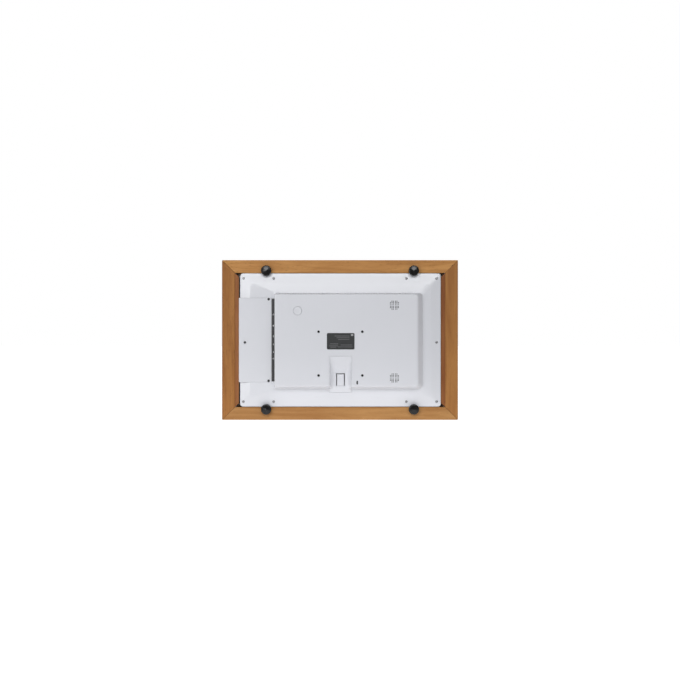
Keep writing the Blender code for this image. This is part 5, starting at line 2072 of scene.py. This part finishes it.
class PHOTOFRAME_OT_studio(bpy.types.Operator):
    """Make the pale floor, the soft light and the camera."""

    bl_idname = "photoframe.studio"
    bl_label = "Studio"

    def execute(self, context):
        settings = context.scene.photoframe_studio
        scene = context.scene
        scene.view_settings.view_transform = "Standard"
        self.make_world(scene, settings)
        self.make_floor(scene)
        for name, (place, width, height, brightness) in LAMPS.items():
            light = bpy.data.lights.new(name, "AREA")
            light.shape = "RECTANGLE"
            light.size = width
            light.size_y = height
            light.energy = brightness * math.pi * width * height
            lamp = bpy.data.objects.new(name, light)
            lamp.location = MIDDLE + Vector(place)
            lamp.visible_camera = False
            lamp.rotation_euler = (-Vector(place)).to_track_quat("-Z", "Y").to_euler()
            scene.collection.objects.link(lamp)
        lens = bpy.data.cameras.new("camera")
        lens.lens = lens.sensor_width * settings.distance / settings.span
        camera = bpy.data.objects.new("camera", lens)
        camera.location = MIDDLE + Vector((0.0, settings.distance, 0.0))
        camera.rotation_euler = (math.pi / 2, 0.0, math.pi)
        scene.collection.objects.link(camera)
        scene.camera = camera
        return {"FINISHED"}

    def make_world(self, scene, settings):
        """White where the camera sees it; as light, brightest towards the screen's side."""
        world = bpy.data.worlds.new("studio")
        world.use_nodes = True
        scene.world = world
        tree = world.node_tree
        tree.nodes.clear()
        way = tree.nodes.new("ShaderNodeTexCoord").outputs["Generated"]
        split = put(tree, "ShaderNodeSeparateXYZ", [(0, way)])
        total = (0.0, 0.0, 0.0)
        for strength, tint, ramps in SKY_LOBES:
            lobe = strength * settings.fill
            for axis, dark, bright in ramps:
                ramp = measured(tree, split.outputs[axis], dark, bright, 0.0, 1.0)
                product = put(
                    tree, "ShaderNodeMath", [(0, ramp), (1, lobe)], operation="MULTIPLY"
                )
                lobe = product.outputs[0]
            lit = put(tree, "ShaderNodeVectorMath", [(0, tint), ("Scale", lobe)], operation="SCALE")
            added = put(
                tree, "ShaderNodeVectorMath", [(0, lit.outputs[0]), (1, total)], operation="ADD"
            )
            total = added.outputs[0]
        light = put(tree, "ShaderNodeBackground", [("Color", total), ("Strength", 1.0)])
        white = put(
            tree, "ShaderNodeBackground", [("Color", (1.0, 1.0, 1.0, 1.0)), ("Strength", 1.0)]
        )
        seen = tree.nodes.new("ShaderNodeLightPath").outputs["Is Camera Ray"]
        mix = put(
            tree, "ShaderNodeMixShader", [(0, seen), (1, light.outputs[0]), (2, white.outputs[0])]
        )
        put(tree, "ShaderNodeOutputWorld", [("Surface", mix.outputs[0])])

    def make_floor(self, scene):
        """A wide pale floor that reads white and keeps a faint shadow."""

        def sheet(bm):
            half = 30.0
            corners = [
                bm.verts.new((x, y, 0.0))
                for x, y in ((-half, -half), (half, -half), (half, half), (-half, half))
            ]
            bm.faces.new(corners)

        mesh = mesh_from("floor", sheet)
        material, tree, shader = blank_material("pale_floor")
        place = stretched(tree, (1.0, 1.0, 1.0))
        cloud = put(
            tree, "ShaderNodeTexNoise", [("Vector", place), ("Scale", 3.0), ("Detail", 3.0)]
        )
        base = mixed(tree, cloud.outputs["Fac"], (0.38, 0.38, 0.38, 1.0), (0.40, 0.40, 0.40, 1.0))
        tree.links.new(base, shader.inputs["Base Color"])
        shader.inputs["Roughness"].default_value = 0.9
        shader.inputs["Specular IOR Level"].default_value = 0.1
        seen = tree.nodes.new("ShaderNodeLightPath").outputs["Is Camera Ray"]
        depth = put(tree, "ShaderNodeSeparateXYZ", [(0, place)]).outputs["Y"]
        glow = 0.0
        for strength, *ramps in FLOOR_GLOW:
            band = strength
            for dark, bright in ramps:
                ramp = measured(tree, depth, dark, bright, 0.0, 1.0)
                product = put(
                    tree, "ShaderNodeMath", [(0, ramp), (1, band)], operation="MULTIPLY"
                )
                band = product.outputs[0]
            glow = put(tree, "ShaderNodeMath", [(0, band), (1, glow)], operation="ADD").outputs[0]
        glow = put(
            tree, "ShaderNodeMix", [(0, seen), (2, glow), (3, 0.95)], data_type="FLOAT"
        ).outputs[0]
        shader.inputs["Emission Color"].default_value = (1.0, 1.0, 1.0, 1.0)
        tree.links.new(glow, shader.inputs["Emission Strength"])
        mesh.materials.append(material)
        floor = bpy.data.objects.new("floor", mesh)
        scene.collection.objects.link(floor)


OPERATORS = [
    PHOTOFRAME_OT_surround,
    PHOTOFRAME_OT_glazing,
    PHOTOFRAME_OT_insides,
    PHOTOFRAME_OT_rear_cover,
    PHOTOFRAME_OT_side_cover,
    PHOTOFRAME_OT_ports,
    PHOTOFRAME_OT_stand_socket,
    PHOTOFRAME_OT_button,
    PHOTOFRAME_OT_label,
    PHOTOFRAME_OT_screws,
    PHOTOFRAME_OT_thumbscrews,
    PHOTOFRAME_OT_studio,
]
SETTINGS = {
    "photoframe_surround": SurroundSettings,
    "photoframe_cover": CoverSettings,
    "photoframe_knob": KnobSettings,
    "photoframe_label": LabelSettings,
    "photoframe_studio": StudioSettings,
}


class PHOTOFRAME_PT_sidebar(bpy.types.Panel):
    """Lists the settings and the pieces."""

    bl_idname = "PHOTOFRAME_PT_sidebar"
    bl_label = "Digital photo frame"
    bl_space_type = "VIEW_3D"
    bl_region_type = "UI"
    bl_category = "Photo frame"

    def draw(self, context):
        layout = self.layout
        for name, group in SETTINGS.items():
            box = layout.box()
            for key in group.__annotations__:
                box.prop(getattr(context.scene, name), key)
        for operator in OPERATORS:
            layout.operator(operator.bl_idname)


def register():
    """Register the settings, the operators and the panel."""
    for group in SETTINGS.values():
        bpy.utils.register_class(group)
    for name, group in SETTINGS.items():
        setattr(bpy.types.Scene, name, PointerProperty(type=group))
    for operator in OPERATORS:
        bpy.utils.register_class(operator)
    bpy.utils.register_class(PHOTOFRAME_PT_sidebar)


def unregister():
    """Undo register."""
    bpy.utils.unregister_class(PHOTOFRAME_PT_sidebar)
    for operator in reversed(OPERATORS):
        bpy.utils.unregister_class(operator)
    for name, group in SETTINGS.items():
        delattr(bpy.types.Scene, name)
        bpy.utils.unregister_class(group)


def main():
    """Make every piece in order."""
    register()
    for operator in OPERATORS:
        group, name = operator.bl_idname.split(".")
        if getattr(getattr(bpy.ops, group), name)() != {"FINISHED"}:
            raise RuntimeError(f"{operator.bl_label} wasn't finished")


if __name__ == "__main__":
    main()
